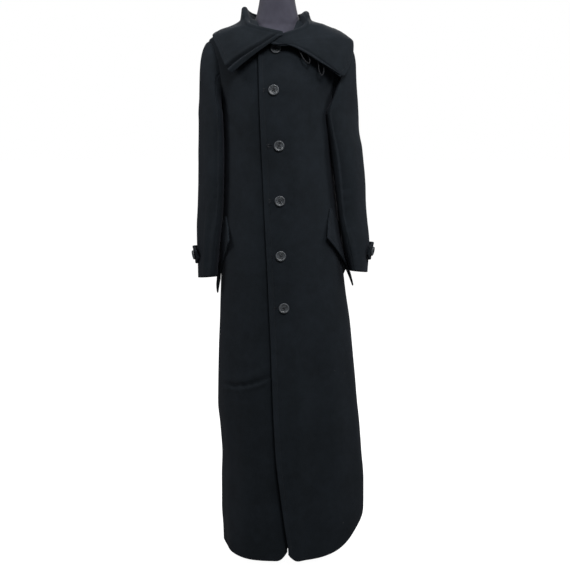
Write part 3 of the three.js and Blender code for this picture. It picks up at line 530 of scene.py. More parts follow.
def along(grid, axis):
    """Arc length from the grid's first line, along an axis."""
    steps = np.linalg.norm(np.diff(grid, axis=axis), axis=-1)
    start = np.zeros_like(np.take(steps, [0], axis=axis))
    return np.cumsum(np.concatenate([start, steps], axis=axis), axis=axis)


def from_edges(grid):
    """Arc lengths from a grid's first and last columns, and from its low and high rows."""
    across, up = along(grid, 1), along(grid, 0)
    return across, across[:, -1:] - across, up, up[-1:] - up


def creases(u, v, table):
    """The sum of depth (1 + lean s / width) exp(-(s / width)^2) sin(pi k)^0.6 over the creases, where s is
    the signed distance from the crease's bent line, and k the share of the way along it."""
    total = np.zeros(u.shape)
    parts = 12
    t = np.linspace(0, 1, parts + 1)
    for x0, z0, xm, zm, x1, z1, width, depth, lean in zip(*table.values()):
        px = (1 - t) ** 2 * x0 + 2 * t * (1 - t) * xm + t**2 * x1
        pz = (1 - t) ** 2 * z0 + 2 * t * (1 - t) * zm + t**2 * z1
        dx, dz = np.diff(px), np.diff(pz)
        length = np.hypot(dx, dz)
        ru, rv = u[..., None] - px[:-1], v[..., None] - pz[:-1]
        k = np.clip((ru * dx + rv * dz) / length**2, 0, 1)
        off = np.hypot(ru - k * dx, rv - k * dz)
        side = np.sign(dx * rv - dz * ru)
        best = np.argmin(off, axis=-1)[..., None]
        s = np.take_along_axis(off * side, best, -1)[..., 0]
        run = np.take_along_axis((np.arange(parts) + k) / parts, best, -1)[..., 0]
        fade = np.sin(math.pi * np.clip(run, 0.0, 1.0)) ** 0.6
        total += depth * (1 + lean * s / width) * hump(s, width) * fade
    return total


def unevenness(u, v, seed, size=0.6, longest=210.0):
    """Slow waves of the hanging cloth: a sum of sines of u and v with seeded directions and phases."""
    rng = np.random.default_rng(seed)
    total = np.zeros(u.shape)
    for k in range(9):
        wave = longest * 0.78**k
        turn, phase = rng.uniform(0, math.pi), rng.uniform(0, 2 * math.pi)
        path = u * math.cos(turn) + 0.5 * v * math.sin(turn)
        total += (wave / longest) ** 0.8 * np.sin(2 * math.pi * path / wave + phase)
    return size * total / 2.2


def new_mesh(name, verts, faces, attributes=None, smooth_faces=True):
    """A mesh object from points in millimetres and quads or triangles; -1 marks a missing fourth corner."""
    mesh = bpy.data.meshes.new(name)
    faces = np.asarray(faces)
    if faces.shape[1] == 4:
        three = faces[:, 3] < 0
        sizes = np.where(three, 3, 4)
        loops = faces.reshape(-1)
        loops = loops[loops >= 0]
    else:
        sizes = np.full(len(faces), 3)
        loops = faces.reshape(-1)
    mesh.vertices.add(len(verts))
    mesh.vertices.foreach_set("co", (np.asarray(verts, float) * MM).astype(np.float32).reshape(-1))
    mesh.loops.add(len(loops))
    mesh.loops.foreach_set("vertex_index", loops.astype(np.int32))
    mesh.polygons.add(len(faces))
    mesh.polygons.foreach_set("loop_start", np.concatenate([[0], np.cumsum(sizes)[:-1]]).astype(np.int32))
    mesh.polygons.foreach_set("use_smooth", np.full(len(faces), smooth_faces))
    mesh.update(calc_edges=True)
    for key, values in (attributes or {}).items():
        mesh.attributes.new(key, "FLOAT", "POINT").data.foreach_set("value", np.asarray(values, np.float32))
    if mesh.validate():
        raise RuntimeError(f"{name} has faulty faces")
    piece = bpy.data.objects.new(name, mesh)
    bpy.context.scene.collection.objects.link(piece)
    return piece


def grid_faces(rows, cols, start=0, wrap=False):
    """The quads of a grid of rows by cols points; wrap joins the last column to the first."""
    i = np.arange(rows - 1)[:, None]
    j = np.arange(cols if wrap else cols - 1)[None, :]
    k = (j + 1) % cols
    i, j, k = np.broadcast_arrays(i, j, k)
    quads = np.stack([i * cols + j, i * cols + k, (i + 1) * cols + k, (i + 1) * cols + j], axis=-1)
    return quads.reshape(-1, 4) + start


def fan(hub, start, sides, flip=False):
    """Triangles from a hub to a ring of points that begins at start, turned over where flip is set."""
    j, k = np.arange(sides), (np.arange(sides) + 1) % sides
    if flip:
        j, k = k, j
    return np.stack(np.broadcast_arrays(hub, start + j, start + k, -1), -1).reshape(-1, 4)


def volume_of(verts, quads):
    """Six times the volume that quads enclose: the sum of a . (b x c) + a . (c x d)."""
    a, b, c, d = np.moveaxis(verts[quads], 1, 0)
    return (a * np.cross(b, c)).sum() + (a * np.cross(c, d)).sum()


def shell(name, grid, thick, sign, wear=None, settle=None):
    """A closed sheet of cloth: the grid, the same grid moved in by the thickness, and a rounded rim between
    them. Round the rim a point is edge - n t (1 - cos f) / 2 + out t sin f / 2, with f from 0 to pi."""
    rows, cols = grid.shape[:2]
    n = normals(grid, sign)
    inner = grid - n * thick
    if settle is not None:
        inner = settle(inner)
    ids = np.arange(rows * cols).reshape(rows, cols)
    loop = np.concatenate([ids[0, :-1], ids[:-1, -1], ids[-1, :0:-1], ids[:0:-1, 0]])
    flat, inside = grid.reshape(-1, 3), inner.reshape(-1, 3)
    out = np.zeros_like(grid)
    out[0] += grid[0] - grid[1]
    out[-1] += grid[-1] - grid[-2]
    sides = np.zeros_like(grid)
    sides[:, 0] += grid[:, 0] - grid[:, 1]
    sides[:, -1] += grid[:, -1] - grid[:, -2]
    away = unit((unit(out) + unit(sides)).reshape(-1, 3)[loop])
    turn = np.linspace(0, math.pi, RIM + 2)[1:-1][:, None, None]
    start, end = flat[loop], inside[loop]
    rim = start + (end - start) * (1 - np.cos(turn)) / 2 + away * thick * 0.42 * np.sin(turn)
    count = len(flat)
    verts = np.concatenate([flat, inside, rim.reshape(-1, 3)])
    m = len(loop)
    strips = [loop] + [2 * count + k * m + np.arange(m) for k in range(RIM)] + [loop + count]
    faces = [grid_faces(rows, cols), grid_faces(rows, cols, count)[:, ::-1]]
    for a, b in zip(strips, strips[1:]):
        faces.append(np.stack([a, b, np.roll(b, -1), np.roll(a, -1)], axis=-1))
    faces = np.concatenate(faces)
    if volume_of(verts, faces) < 0:
        faces = faces[:, ::-1]
    worn = np.zeros(rows * cols) if wear is None else wear.reshape(-1)
    worn = np.concatenate([worn, worn * 0.3, np.tile(np.maximum(worn[loop], 0.75), RIM)])
    return new_mesh(name, verts, faces, {"wear": worn})


def tube(name, path, radius, sides=10, twist=0.0, depth=0.0):
    """Closed tubes along paths, one for each path of the array. A ring point is path + r (cos f e1 + sin f
    e2), with r = radius (1 + depth cos(2 f + twist s)) for a cord of two plies."""
    paths = path if path.ndim == 3 else path[None]
    count, steps = paths.shape[:2]
    tangent = unit(np.gradient(paths, axis=1))
    e1 = unit(np.cross(tangent, [0.31, 0.83, 0.46]))
    e2 = np.cross(tangent, e1)
    s = along(paths, 1)[..., None]
    f = 2 * math.pi * np.arange(sides) / sides
    r = np.broadcast_to(np.asarray(radius, float), (count, steps))[..., None]
    r = r * (1 + depth * np.cos(2 * f + twist * s))
    spokes = np.cos(f)[:, None] * e1[:, :, None] + np.sin(f)[:, None] * e2[:, :, None]
    rings = paths[:, :, None] + r[..., None] * spokes
    verts = np.concatenate([rings.reshape(-1, 3), paths[:, 0], paths[:, -1]])
    base = grid_faces(steps, sides, wrap=True)
    faces = (base[None] + (np.arange(count) * steps * sides)[:, None, None]).reshape(-1, 4)
    each = np.arange(count)[:, None]
    first = each * steps * sides
    hub = count * steps * sides + each
    heads = fan(hub, first, sides, flip=True)
    tails = fan(hub + count, first + (steps - 1) * sides, sides)
    inward = volume_of(verts, faces) < 0
    faces = np.concatenate([faces, heads, tails])
    if inward:
        three = faces[:, 3] < 0
        faces[three, :3] = faces[three, 2::-1]
        faces[~three] = faces[~three, ::-1]
    return new_mesh(name, verts, faces)


def spline(knots, t):
    """A Catmull-Rom curve through the knots at shares t of its length in knots."""
    ends = np.concatenate([[2 * knots[0] - knots[1]], knots, [2 * knots[-1] - knots[-2]]])
    at = t * (len(knots) - 1)
    i = np.minimum(at.astype(int), len(knots) - 2)
    s = (at - i)[:, None]
    a, b, c, d = ends[i], ends[i + 1], ends[i + 2], ends[i + 3]
    return 0.5 * (2 * b + (c - a) * s + (2 * a - 5 * b + 4 * c - d) * s**2 + (3 * b - a - 3 * c + d) * s**3)


def sample(grid, rows, cols):
    """Points of a grid at fractional rows and columns, bilinear."""
    rows = np.clip(rows, 0, grid.shape[0] - 1.001)
    cols = np.clip(cols, 0, grid.shape[1] - 1.001)
    i, j = rows.astype(int), cols.astype(int)
    a, b = (rows - i)[..., None], (cols - j)[..., None]
    return (grid[i, j] * (1 - a) * (1 - b) + grid[i + 1, j] * a * (1 - b)
            + grid[i, j + 1] * (1 - a) * b + grid[i + 1, j + 1] * a * b)


def stitch_row(name, lines):
    """A row of machine stitches on each line of (points, normals): short arcs of thread, a gap between them,
    that dip into the cloth at both ends: p + n (h sin(pi k) - sink)."""
    arcs = []
    for line, up in lines:
        s = along(line[None], 1)[0]
        starts = np.arange(STITCH_GAP, s[-1] - STITCH, STITCH + STITCH_GAP)
        k = np.linspace(0, 1, 5)
        at = starts[:, None] + STITCH * k
        p = np.stack([np.interp(at, s, line[:, c]) for c in range(3)], -1)
        n = np.stack([np.interp(at, s, up[:, c]) for c in range(3)], -1)
        arcs.append(p + n * (STITCH_HEIGHT * np.sin(math.pi * k) - STITCH_SINK)[None, :, None])
    radius = THREAD_R * np.array([0.55, 0.95, 1.0, 0.95, 0.55])
    return tube(name, np.concatenate(arcs), radius[None], sides=6)


def top_stitch(name, lines):
    """Adds a row of stitches on each line, in the coat's thread."""
    finish_piece(stitch_row(name, lines), stitch_material())


def finish_piece(piece, material, node=None):
    """Gives a piece its material and slot, sets it on the part's one body and lets it stand for its node."""
    piece.data.materials.append(material)
    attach(piece, "root")
    if node:
        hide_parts(node)
    return piece


# Materials
def socket(group, name, kind, inward, value=None, low=None, high=None):
    """One named input or output of a node group."""
    made = group.interface.new_socket(name=name, in_out="INPUT" if inward else "OUTPUT", socket_type=kind)
    if value is not None:
        made.default_value = value
    if low is not None:
        made.min_value, made.max_value = low, high
    return made


def set_inputs(node, **values):
    """Sets a node's inputs by name, each space written as an underscore."""
    for key, value in values.items():
        node.inputs[key.replace("_", " ")].default_value = value


def add_node(tree, kind, **values):
    """A node with its settings; a key of the form in_NAME sets an input."""
    node = tree.nodes.new(kind)
    for key, value in values.items():
        if key.startswith("in_"):
            set_inputs(node, **{key[3:]: value})
        else:
            setattr(node, key, value)
    return node


def noise(tree, vector, scale, detail=2.0, rough=0.5, distortion=0.0):
    """A noise texture's value between 0 and 1."""
    node = add_node(tree, "ShaderNodeTexNoise", in_Scale=scale, in_Detail=detail, in_Roughness=rough,
                    in_Distortion=distortion)
    tree.links.new(vector, node.inputs["Vector"])
    return node.outputs[0]


def math_node(tree, operation, a, b=None, clamp=False):
    """One Math node; a and b are sockets or numbers."""
    node = add_node(tree, "ShaderNodeMath", operation=operation, use_clamp=clamp)
    for k, value in enumerate((a, b)):
        if value is None:
            continue
        if isinstance(value, (int, float)):
            node.inputs[k].default_value = value
        else:
            tree.links.new(value, node.inputs[k])
    return node.outputs[0]


def plus(tree, a, b, clamp=False):
    """a + b, each a socket or a number."""
    return math_node(tree, "ADD", a, b, clamp)


def times(tree, a, b):
    """a b, each a socket or a number."""
    return math_node(tree, "MULTIPLY", a, b)


def remap(tree, value, low, high, to_low=0.0, to_high=1.0):
    """Maps a value from one range to another, clamped."""
    node = add_node(tree, "ShaderNodeMapRange", clamp=True)
    tree.links.new(value, node.inputs[0])
    for k, number in enumerate((low, high, to_low, to_high)):
        node.inputs[k + 1].default_value = number
    return node.outputs[0]


def blend_colour(tree, share, a, b, kind="MIX"):
    """Mixes two colours, each a socket or a colour."""
    node = add_node(tree, "ShaderNodeMix", data_type="RGBA", blend_type=kind)
    if isinstance(share, (int, float)):
        node.inputs[0].default_value = share
    else:
        tree.links.new(share, node.inputs[0])
    for place, value in ((6, a), (7, b)):
        if isinstance(value, (tuple, list)):
            node.inputs[place].default_value = (*value, 1.0)
        else:
            tree.links.new(value, node.inputs[place])
    return node.outputs[2]


def colour_to(tree, shader, share, pair):
    """Links a mixture of a pair of colours to the shader's base colour."""
    tree.links.new(blend_colour(tree, share, *pair), shader.inputs["Base Color"])


def stretched(tree, vector, scale, turn=(0.0, 0.0, 0.0)):
    """Coordinates scaled by different amounts along the three axes."""
    node = add_node(tree, "ShaderNodeMapping", in_Scale=scale, in_Rotation=turn)
    tree.links.new(vector, node.inputs["Vector"])
    return node.outputs[0]


def nap_group():
    """The matted nap of a milled wool cloth: clouded colour, short crossing fibres, pills and stray lint."""
    group = bpy.data.node_groups.new("matted_nap", "ShaderNodeTree")
    socket(group, "Vector", "NodeSocketVector", True)
    socket(group, "Ground", "NodeSocketColor", True, (0.02, 0.02, 0.025, 1))
    socket(group, "Raised", "NodeSocketColor", True, (0.04, 0.04, 0.05, 1))
    socket(group, "Wear", "NodeSocketFloat", True, 0.0, 0.0, 1.0)
    socket(group, "Lint", "NodeSocketFloat", True, 0.5, 0.0, 1.0)
    socket(group, "Color", "NodeSocketColor", False)
    socket(group, "Roughness", "NodeSocketFloat", False)
    socket(group, "Height", "NodeSocketFloat", False)
    source = group.nodes.new("NodeGroupInput")
    sink = group.nodes.new("NodeGroupOutput")
    vector = source.outputs["Vector"]
    cloud = noise(group, vector, 11.0, 3.0, 0.55)
    patch = noise(group, vector, 55.0, 3.0, 0.6)
    upright = noise(group, stretched(group, vector, (2600, 2600, 520)), 1.0, 2.0, 0.6, 0.6)
    across = noise(group, stretched(group, vector, (620, 1800, 2300), (0.3, 0.5, 0.2)), 1.0, 2.0, 0.6, 0.6)
    grain = noise(group, vector, 950.0, 3.0, 0.65)
    fibres = plus(group, times(group, upright, 0.5), times(group, across, 0.5))
    height = plus(group, times(group, fibres, 0.6), times(group, grain, 0.5))
    height = plus(group, height, times(group, patch, 0.5))
    clouding = remap(group, cloud, 0.3, 0.7, -0.12, 0.22)
    share = plus(group, remap(group, fibres, 0.38, 0.66, 0.0, 0.55), clouding)
    share = plus(group, share, remap(group, patch, 0.3, 0.7, -0.1, 0.14))
    share = plus(group, share, times(group, source.outputs["Wear"], 0.12), clamp=True)
    colour = blend_colour(group, share, source.outputs["Ground"], source.outputs["Raised"])
    speck = add_node(group, "ShaderNodeTexVoronoi", feature="F1", in_Scale=70.0)
    group.links.new(stretched(group, vector, (1, 1, 0.5), (0.4, 0.2, 0.0)), speck.inputs["Vector"])
    dot = remap(group, speck.outputs["Distance"], 0.03, 0.055, 1.0, 0.0)
    rare = add_node(group, "ShaderNodeSeparateColor")
    group.links.new(speck.outputs["Color"], rare.inputs[0])
    chosen = math_node(group, "GREATER_THAN", rare.outputs[0], 0.975)
    lint = times(group, times(group, dot, chosen), source.outputs["Lint"])
    colour = blend_colour(group, lint, colour, LINT)
    rough = remap(group, fibres, 0.3, 0.7, 0.98, 0.86)
    group.links.new(colour, sink.inputs["Color"])
    group.links.new(rough, sink.inputs["Roughness"])
    group.links.new(height, sink.inputs["Height"])
    return group


def new_material(name):
    """A material with nodes and its Principled shader."""
    material = bpy.data.materials.new(name)
    material.use_nodes = True
    return material, material.node_tree, material.node_tree.nodes["Principled BSDF"]


def object_coordinates(tree):
    """Object coordinates, in metres."""
    return tree.nodes.new("ShaderNodeTexCoord").outputs["Object"]


def bump(tree, shader, height, strength, distance):
    """A Bump node from a height to the shader's normal."""
    node = add_node(tree, "ShaderNodeBump", in_Strength=strength, in_Distance=distance)
    tree.links.new(height, node.inputs["Height"])
    tree.links.new(node.outputs["Normal"], shader.inputs["Normal"])


def melton(name, ground, raised, lint, sheen):
    """Milled wool cloth with a soft nap and a faint sheen."""
    material, tree, shader = new_material(name)
    group = bpy.data.node_groups.get("matted_nap") or nap_group()
    nap = add_node(tree, "ShaderNodeGroup", node_tree=group)
    tree.links.new(object_coordinates(tree), nap.inputs["Vector"])
    wear = add_node(tree, "ShaderNodeAttribute", attribute_name="wear")
    tree.links.new(wear.outputs["Fac"], nap.inputs["Wear"])
    nap.inputs["Ground"].default_value = (*ground, 1)
    nap.inputs["Raised"].default_value = (*raised, 1)
    nap.inputs["Lint"].default_value = lint
    tree.links.new(nap.outputs["Color"], shader.inputs["Base Color"])
    tree.links.new(nap.outputs["Roughness"], shader.inputs["Roughness"])
    bump(tree, shader, nap.outputs["Height"], 0.55, 0.0006)
    set_inputs(shader, Specular_IOR_Level=0.12, Sheen_Weight=sheen, Sheen_Roughness=0.45,
               Sheen_Tint=SHEEN_TINT)
    return material


def horn():
    """Mottled grey horn: cloudy streaks, fine grain, a paler rubbed rim, painted shade in the bottoms of the
    holes and a soft gloss.
    """
    material, tree, shader = new_material("mottled_horn")
    vector = object_coordinates(tree)
    streak = noise(tree, stretched(tree, vector, (120, 60, 260), (0.2, 0.5, 0.7)), 1.0, 4.0, 0.62, 1.4)
    blotch = noise(tree, vector, 190.0, 3.0, 0.6, 0.8)
    grain = noise(tree, vector, 1500.0, 2.0, 0.5)
    share = plus(tree, times(tree, streak, 0.6), times(tree, blotch, 0.45))
    colour = blend_colour(tree, remap(tree, share, 0.4, 0.66), *HORN)
    # The rim is paler horn; the second mark is painted shade darkening the bottoms of the four holes
    for name, most, tint in (("rim", 0.5, HORN_RIM), ("hole_shade", 0.9, HORN_HOLE_SHADE)):
        place = add_node(tree, "ShaderNodeAttribute", attribute_name=name)
        colour = blend_colour(tree, times(tree, place.outputs["Fac"], most), colour, tint)
    tree.links.new(colour, shader.inputs["Base Color"])
    tree.links.new(remap(tree, grain, 0.3, 0.7, 0.24, 0.42), shader.inputs["Roughness"])
    bump(tree, shader, grain, 0.12, 0.0004)
    set_inputs(shader, Specular_IOR_Level=0.35, Coat_Weight=0.08, Coat_Roughness=0.18)
    return material


def thread_material(name, pair):
    """Twisted thread with a slight lustre."""
    material, tree, shader = new_material(name)
    vector = object_coordinates(tree)
    ply = noise(tree, stretched(tree, vector, (2400, 2400, 900), (0.6, 0.3, 0.8)), 1.0, 2.0, 0.5, 0.4)
    colour_to(tree, shader, remap(tree, ply, 0.35, 0.65), pair)
    tree.links.new(remap(tree, ply, 0.3, 0.7, 0.7, 0.5), shader.inputs["Roughness"])
    bump(tree, shader, ply, 0.4, 0.0003)
    set_inputs(shader, Specular_IOR_Level=0.16)
    return material


def jersey():
    """The form's stretched knitted cover: fine upright ribs of loops, pilling and soft clouding."""
    material, tree, shader = new_material("form_jersey")
    vector = object_coordinates(tree)
    rib = add_node(tree, "ShaderNodeTexWave", wave_type="BANDS", bands_direction="X", in_Scale=190.0,
                   in_Distortion=0.6, in_Detail_Scale=3.0)
    course = add_node(tree, "ShaderNodeTexWave", wave_type="BANDS", bands_direction="Z", in_Scale=230.0,
                      in_Distortion=0.8)
    for wave in (rib, course):
        tree.links.new(vector, wave.inputs["Vector"])
    cloud = noise(tree, vector, 24.0, 4.0, 0.6)
    fuzz = noise(tree, vector, 1300.0, 2.0, 0.6)
    knit = times(tree, rib.outputs["Fac"], course.outputs["Fac"])
    share = plus(tree, remap(tree, cloud, 0.3, 0.7, 0.1, 0.7), times(tree, knit, 0.3), clamp=True)
    colour_to(tree, shader, share, JERSEY)
    tree.links.new(remap(tree, fuzz, 0.3, 0.7, 0.95, 0.8), shader.inputs["Roughness"])
    height = plus(tree, times(tree, knit, 0.7), times(tree, fuzz, 0.4))
    bump(tree, shader, height, 0.5, 0.0005)
    set_inputs(shader, Specular_IOR_Level=0.2, Sheen_Weight=0.08)
    return material


def steel():
    """Dark satin paint on steel, with fine orange peel and rubbed places."""
    material, tree, shader = new_material("satin_paint")
    vector = object_coordinates(tree)
    peel = noise(tree, vector, 600.0, 2.0, 0.5)
    rub = noise(tree, vector, 40.0, 5.0, 0.65)
    colour_to(tree, shader, remap(tree, rub, 0.55, 0.72), PAINT)
    tree.links.new(remap(tree, rub, 0.35, 0.7, 0.42, 0.6), shader.inputs["Roughness"])
    bump(tree, shader, peel, 0.15, 0.0003)
    set_inputs(shader, Metallic=0.2)
    return material


def stored(name, make, *values):
    """A material by name, made once."""
    return bpy.data.materials.get(name) or make(*values)


def cloth_material():
    """The coat's wool, with the sidebar's colours."""
    look = bpy.context.scene.coat_cloth
    name = "wool_melton"
    return stored(name, melton, name, tuple(look.ground), tuple(look.raised), look.lint, look.sheen)


def cord_material():
    """The cord of the two loops."""
    return stored("coat_cord", thread_material, "coat_cord", CORD)


def stitch_material():
    """The thread of stitches, buttonholes and buttons."""
    return stored("coat_thread", thread_material, "coat_thread", THREAD)


# Cloth shapes
def near_buttons(x, z):
    """The pull of each button: a dimple 0.9 deep and two faint drags 0.5 deep that run from it."""
    total = np.zeros(x.shape)
    for k, (bx, bz) in enumerate(zip(BUTTONS["x"], BUTTONS["z"])):
        dx, dz = x - bx, z - bz
        r = np.hypot(dx, dz)
        total -= 0.9 * hump(r, 17)
        lean = 0.35 + 0.12 * math.sin(2.4 * k)
        for tilt in (lean, math.pi - lean * 0.8):
            s = dx * math.sin(tilt) + dz * math.cos(tilt)
            t = dx * math.cos(tilt) - dz * math.sin(tilt)
            total -= 0.5 * hump(s, 4) * hump(t - 26, 18)
    return total


def sewn(from_seam, from_hem):
    """What sewing leaves on a body panel: a sunk seam, a soft ridge beside it, and the hem's faint line."""
    return 0.35 * hump(from_seam - 6, 4) - 0.6 * hump(from_seam, 2.4) - 0.35 * hump(from_hem - 42, 2.2)


def front_grid(hand):
    """A front of the coat. Columns run in from its edge and then by shares of the angle to the side seam,
    less the armhole's cut times the share squared. Rows are levels bent to the hem and neckline."""
    edge = "upper" if hand > 0 else "lower"
    level = panel_levels()
    inset = np.array([0, 1.2, 2.6, 4.4, 6.5, 9, 11, 13, 15, 18, 22, 27, 32, 37, 42.0])[None, :]
    corner = CORNER_RISE * np.maximum(0, 1 - inset / CORNER_REACH) ** 2
    z = level_height(level, 0.0, corner)
    for _ in range(3):
        x = read(FRONT_EDGES, "z", z)[edge] + hand * inset
        angle = angle_across(read(BODY, "z", z), x)
        z = level_height(level, angle, corner)
    section = read(BODY, "z", level)
    seam = hand * angle_along(section, SEAM / 2, section["front"])
    cut = seam - hand * angle_along(section, armhole_depth(level, ARMHOLE_FRONT), section["front"])
    share = np.linspace(0, 1, 62)[None, 1:]
    turns = mix(angle[:, -1:], seam, share) - cut * share**2
    angle = np.concatenate([angle, turns], axis=1)
    z = np.concatenate([z, level_height(level, turns)], axis=1)
    base = body_points(angle, z)
    out = lap_raise(base[..., 0], z) if hand > 0 else 0.0
    grid = body_points(angle, z, out)
    x, z = grid[..., 0], grid[..., 2]
    n = normals(grid, hand)
    from_edge, from_seam, from_hem, to_neck = from_edges(grid)
    fade = smooth(0, 14, from_edge) * smooth(0, 10, from_seam)
    push = creases(x, z, FRONT_CREASES) * fade
    push += unevenness(x, z, 5 + hand, 0.55) * smooth(0, 40, from_edge) * smooth(0, 14, from_seam)
    push += sewn(from_seam, from_hem)
    if hand > 0:
        push += near_buttons(x, z)
        push -= 0.55 * hump(from_edge - 13, 1.7)
        push += 0.45 * hump(from_edge - 7, 4.5)
        curl = CURL + 0.7 * np.sin(z / 34.0)
        push += curl * hump(from_edge, CURL_WIDTH) * smooth(0, 60, 1380 - z)
    else:
        lap = read(FRONT_EDGES, "z", z)["upper"]
        low = 1 - smooth(150, 640, z)
        trough = (TROUGH + 1.8 * low) * hump(x - lap - 3, TROUGH_WIDTH + 3 * low)
        push -= trough * (1 - smooth(1330, 1400, z))
    push *= smooth(-2, 8, to_neck)
    return grid + n * push[..., None]


def back_grid():
    """The back. Its columns run from side seam to side seam: angle = pi + seam s - cut sgn(s) s^2, with s
    from -1 to 1."""
    level = panel_levels()
    section = read(BODY, "z", level)
    seam = angle_along(section, SEAM / 2, section["back"])
    cut = seam - angle_along(section, armhole_depth(level, ARMHOLE_BACK), section["back"])
    share = np.linspace(-1, 1, 121)[None, :]
    angle = math.pi + seam * share - cut * np.sign(share) * share**2
    z = level_height(level, angle)
    grid = body_points(angle, z)
    x = grid[..., 0]
    n = normals(grid, 1)
    from_left, from_right, from_hem, to_neck = from_edges(grid)
    from_seam = np.minimum(from_left, from_right)
    push = creases(x, z, BACK_CREASES) * smooth(0, 12, from_seam)
    push += unevenness(x, z, 11, 0.7) * smooth(0, 16, from_seam)
    turn = np.degrees(angle) + 0 * z
    behind = 7 * hump(turn - 261.5, 7) * hump(z - 1178, 34)
    for middle, depth, low, high in BACK_FOLDS:
        fade = smooth(*BACK_FOLD_RISE, z) * (1 - smooth(low, high, z))
        behind += depth * hump(turn - middle, BACK_FOLD_WIDTH) * fade
    push += behind * smooth(0, 9, from_seam) + sewn(from_seam, from_hem)
    push *= smooth(-2, 8, to_neck)
    return grid + n * push[..., None]


def armhole_points(hand, turn):
    """The armhole's ring on the body: an ellipse in y and z, with x from the section's superellipse."""
    inset = 1 - 0.8 / ARM_HALF
    z = ARM_MID + ARM_HALF * inset * np.cos(turn)
    ahead = np.sin(turn)
    y = -np.where(ahead >= 0, ARMHOLE_FRONT, ARMHOLE_BACK) * inset * ahead
    section = read(BODY, "z", z)
    deep = np.where(y <= 0, section["front"], section["back"])
    wide = section["left"] if hand > 0 else section["right"]
    x = wide * (1 - (np.abs(y) / deep) ** section["power"]) ** (1 / section["power"])
    return points(hand * (x + SEAM), y, z)


def clear_of_body(grid, clear):
    """Points inside the body's section, grown by a clearance, are scaled out to it:
    p / ((x/a)^q + (y/b)^q)^(1/q)."""
    x, y, z = grid[..., 0], grid[..., 1], grid[..., 2]
    section = read(BODY, "z", z)
    near = np.where(x >= 0, section["left"], section["right"])
    far = np.where(y <= 0, section["front"], section["back"])
    angle = np.arctan2(x / near, -y / far)
    room = clear + np.maximum(0, fold_depth(angle, z))
    power = section["power"]
    reach = ((np.abs(x) / (near + room)) ** power + (np.abs(y) / (far + room)) ** power) ** (1 / power)
    scale = np.where(reach < 1, 1 / np.maximum(reach, 1e-6), 1)
    return points(x * scale, y * scale, z)


def sleeve_clear(z):
    """The air between a sleeve and the body: none at the armhole, more towards the elbow."""
    return mix(SLEEVE_CLEAR, 0.3, smooth(1070, 1170, z))


def sleeve_points(arm, z, turn, out=0.0):
    """A hanging sleeve's section at a height: an ellipse turned by its twist, kept clear of the body."""
    s = read(arm["table"], "z", z)
    twist = np.radians(s["twist"])
    wide, ahead = (s["thick"] + out) * np.cos(turn), (s["depth"] + out) * np.sin(turn)
    x = s["centre"] + wide * np.cos(twist) - ahead * np.sin(twist)
    y = s["mid"] - wide * np.sin(twist) - ahead * np.cos(twist)
    rise = CUFF_RISE * np.sin(turn) * (1 - smooth(arm["table"]["z"][0], CUFF_RISE_TO, z))
    return clear_of_body(points(arm["hand"] * x, y, z + rise), sleeve_clear(z))


def cap_points(arm, share, turn):
    """The sleeve head: a Hermite curve from the armhole, leaving it outwards, to the upper arm."""
    start = armhole_points(arm["hand"], turn)
    end = sleeve_points(arm, arm["table"]["z"][-1] + 0 * turn, turn)
    reach = np.linalg.norm(end - start, axis=-1) * arm["fullness"]
    drop = 0.25 + 0.35 * np.maximum(0, np.cos(turn)) + 1.6 * np.maximum(0, -np.cos(turn))
    lead = points(arm["hand"] + 0 * drop, 0 * drop, -drop)
    lead *= (reach / np.linalg.norm(lead, axis=-1))[..., None]
    t = share[..., None]
    grid = start * (2 * t**3 - 3 * t**2 + 1) + lead * (t**3 - 2 * t**2 + t) + end * (3 * t**2 - 2 * t**3)
    grid[..., 2] += (share**2 - share**3) * reach
    return clear_of_body(grid, 0.3 * smooth(0, 0.4, share))


def sleeve_grid(arm, middle, table, seed):
    """Half a sleeve between its two seams, from armhole to cuff, creased at the elbow and the head."""
    quarter = math.pi / 2 - SEAM_TURN
    turn = middle + np.linspace(quarter, -quarter, 57)[None, :]
    share = np.linspace(0, 1, 34)[:-1, None]
    cap = cap_points(arm, share + 0 * turn, turn + 0 * share)
    low = arm["table"]["z"]
    z = np.linspace(low[-1], low[0], 92)[:, None]
    tuck = ARMHOLE_TUCK * np.array([3, 2, 1])[:, None, None] / 3 * np.array([-arm["hand"], 0, 0])
    grid = np.concatenate([cap[:1] + tuck, cap, sleeve_points(arm, z + 0 * turn, turn + 0 * z)])
    n = normals(grid, -arm["hand"])
    turns = np.degrees(turn) + 0 * grid[..., 2]
    turns = np.where(turns > 180, turns - 360, turns)
    first, last, from_tuck, to_cuff = from_edges(grid)
    from_head, from_seam = from_tuck - ARMHOLE_TUCK, np.minimum(first, last)
    push = creases(turns, grid[..., 2], table) * smooth(0, 8, from_seam)
    waves = unevenness(turns * 1.1, grid[..., 2], seed, 0.5, 130.0)
    push += waves * smooth(0, 30, from_head) * smooth(0, 10, from_seam)
    push -= 0.8 * hump(from_seam, 2.2)
    push += 0.7 * hump(from_head - 8, 4)
    push -= 0.3 * hump(to_cuff - 38, 2.0)
    return grid + n * (push * smooth(1, 9, from_head))[..., None]


def sag(bow, k):
    """How far the collar's fall sags at a share k of the way down it: bow (6.75 k (1 - k)^2)^2."""
    return bow * (6.75 * k * (1 - k) ** 2) ** 2


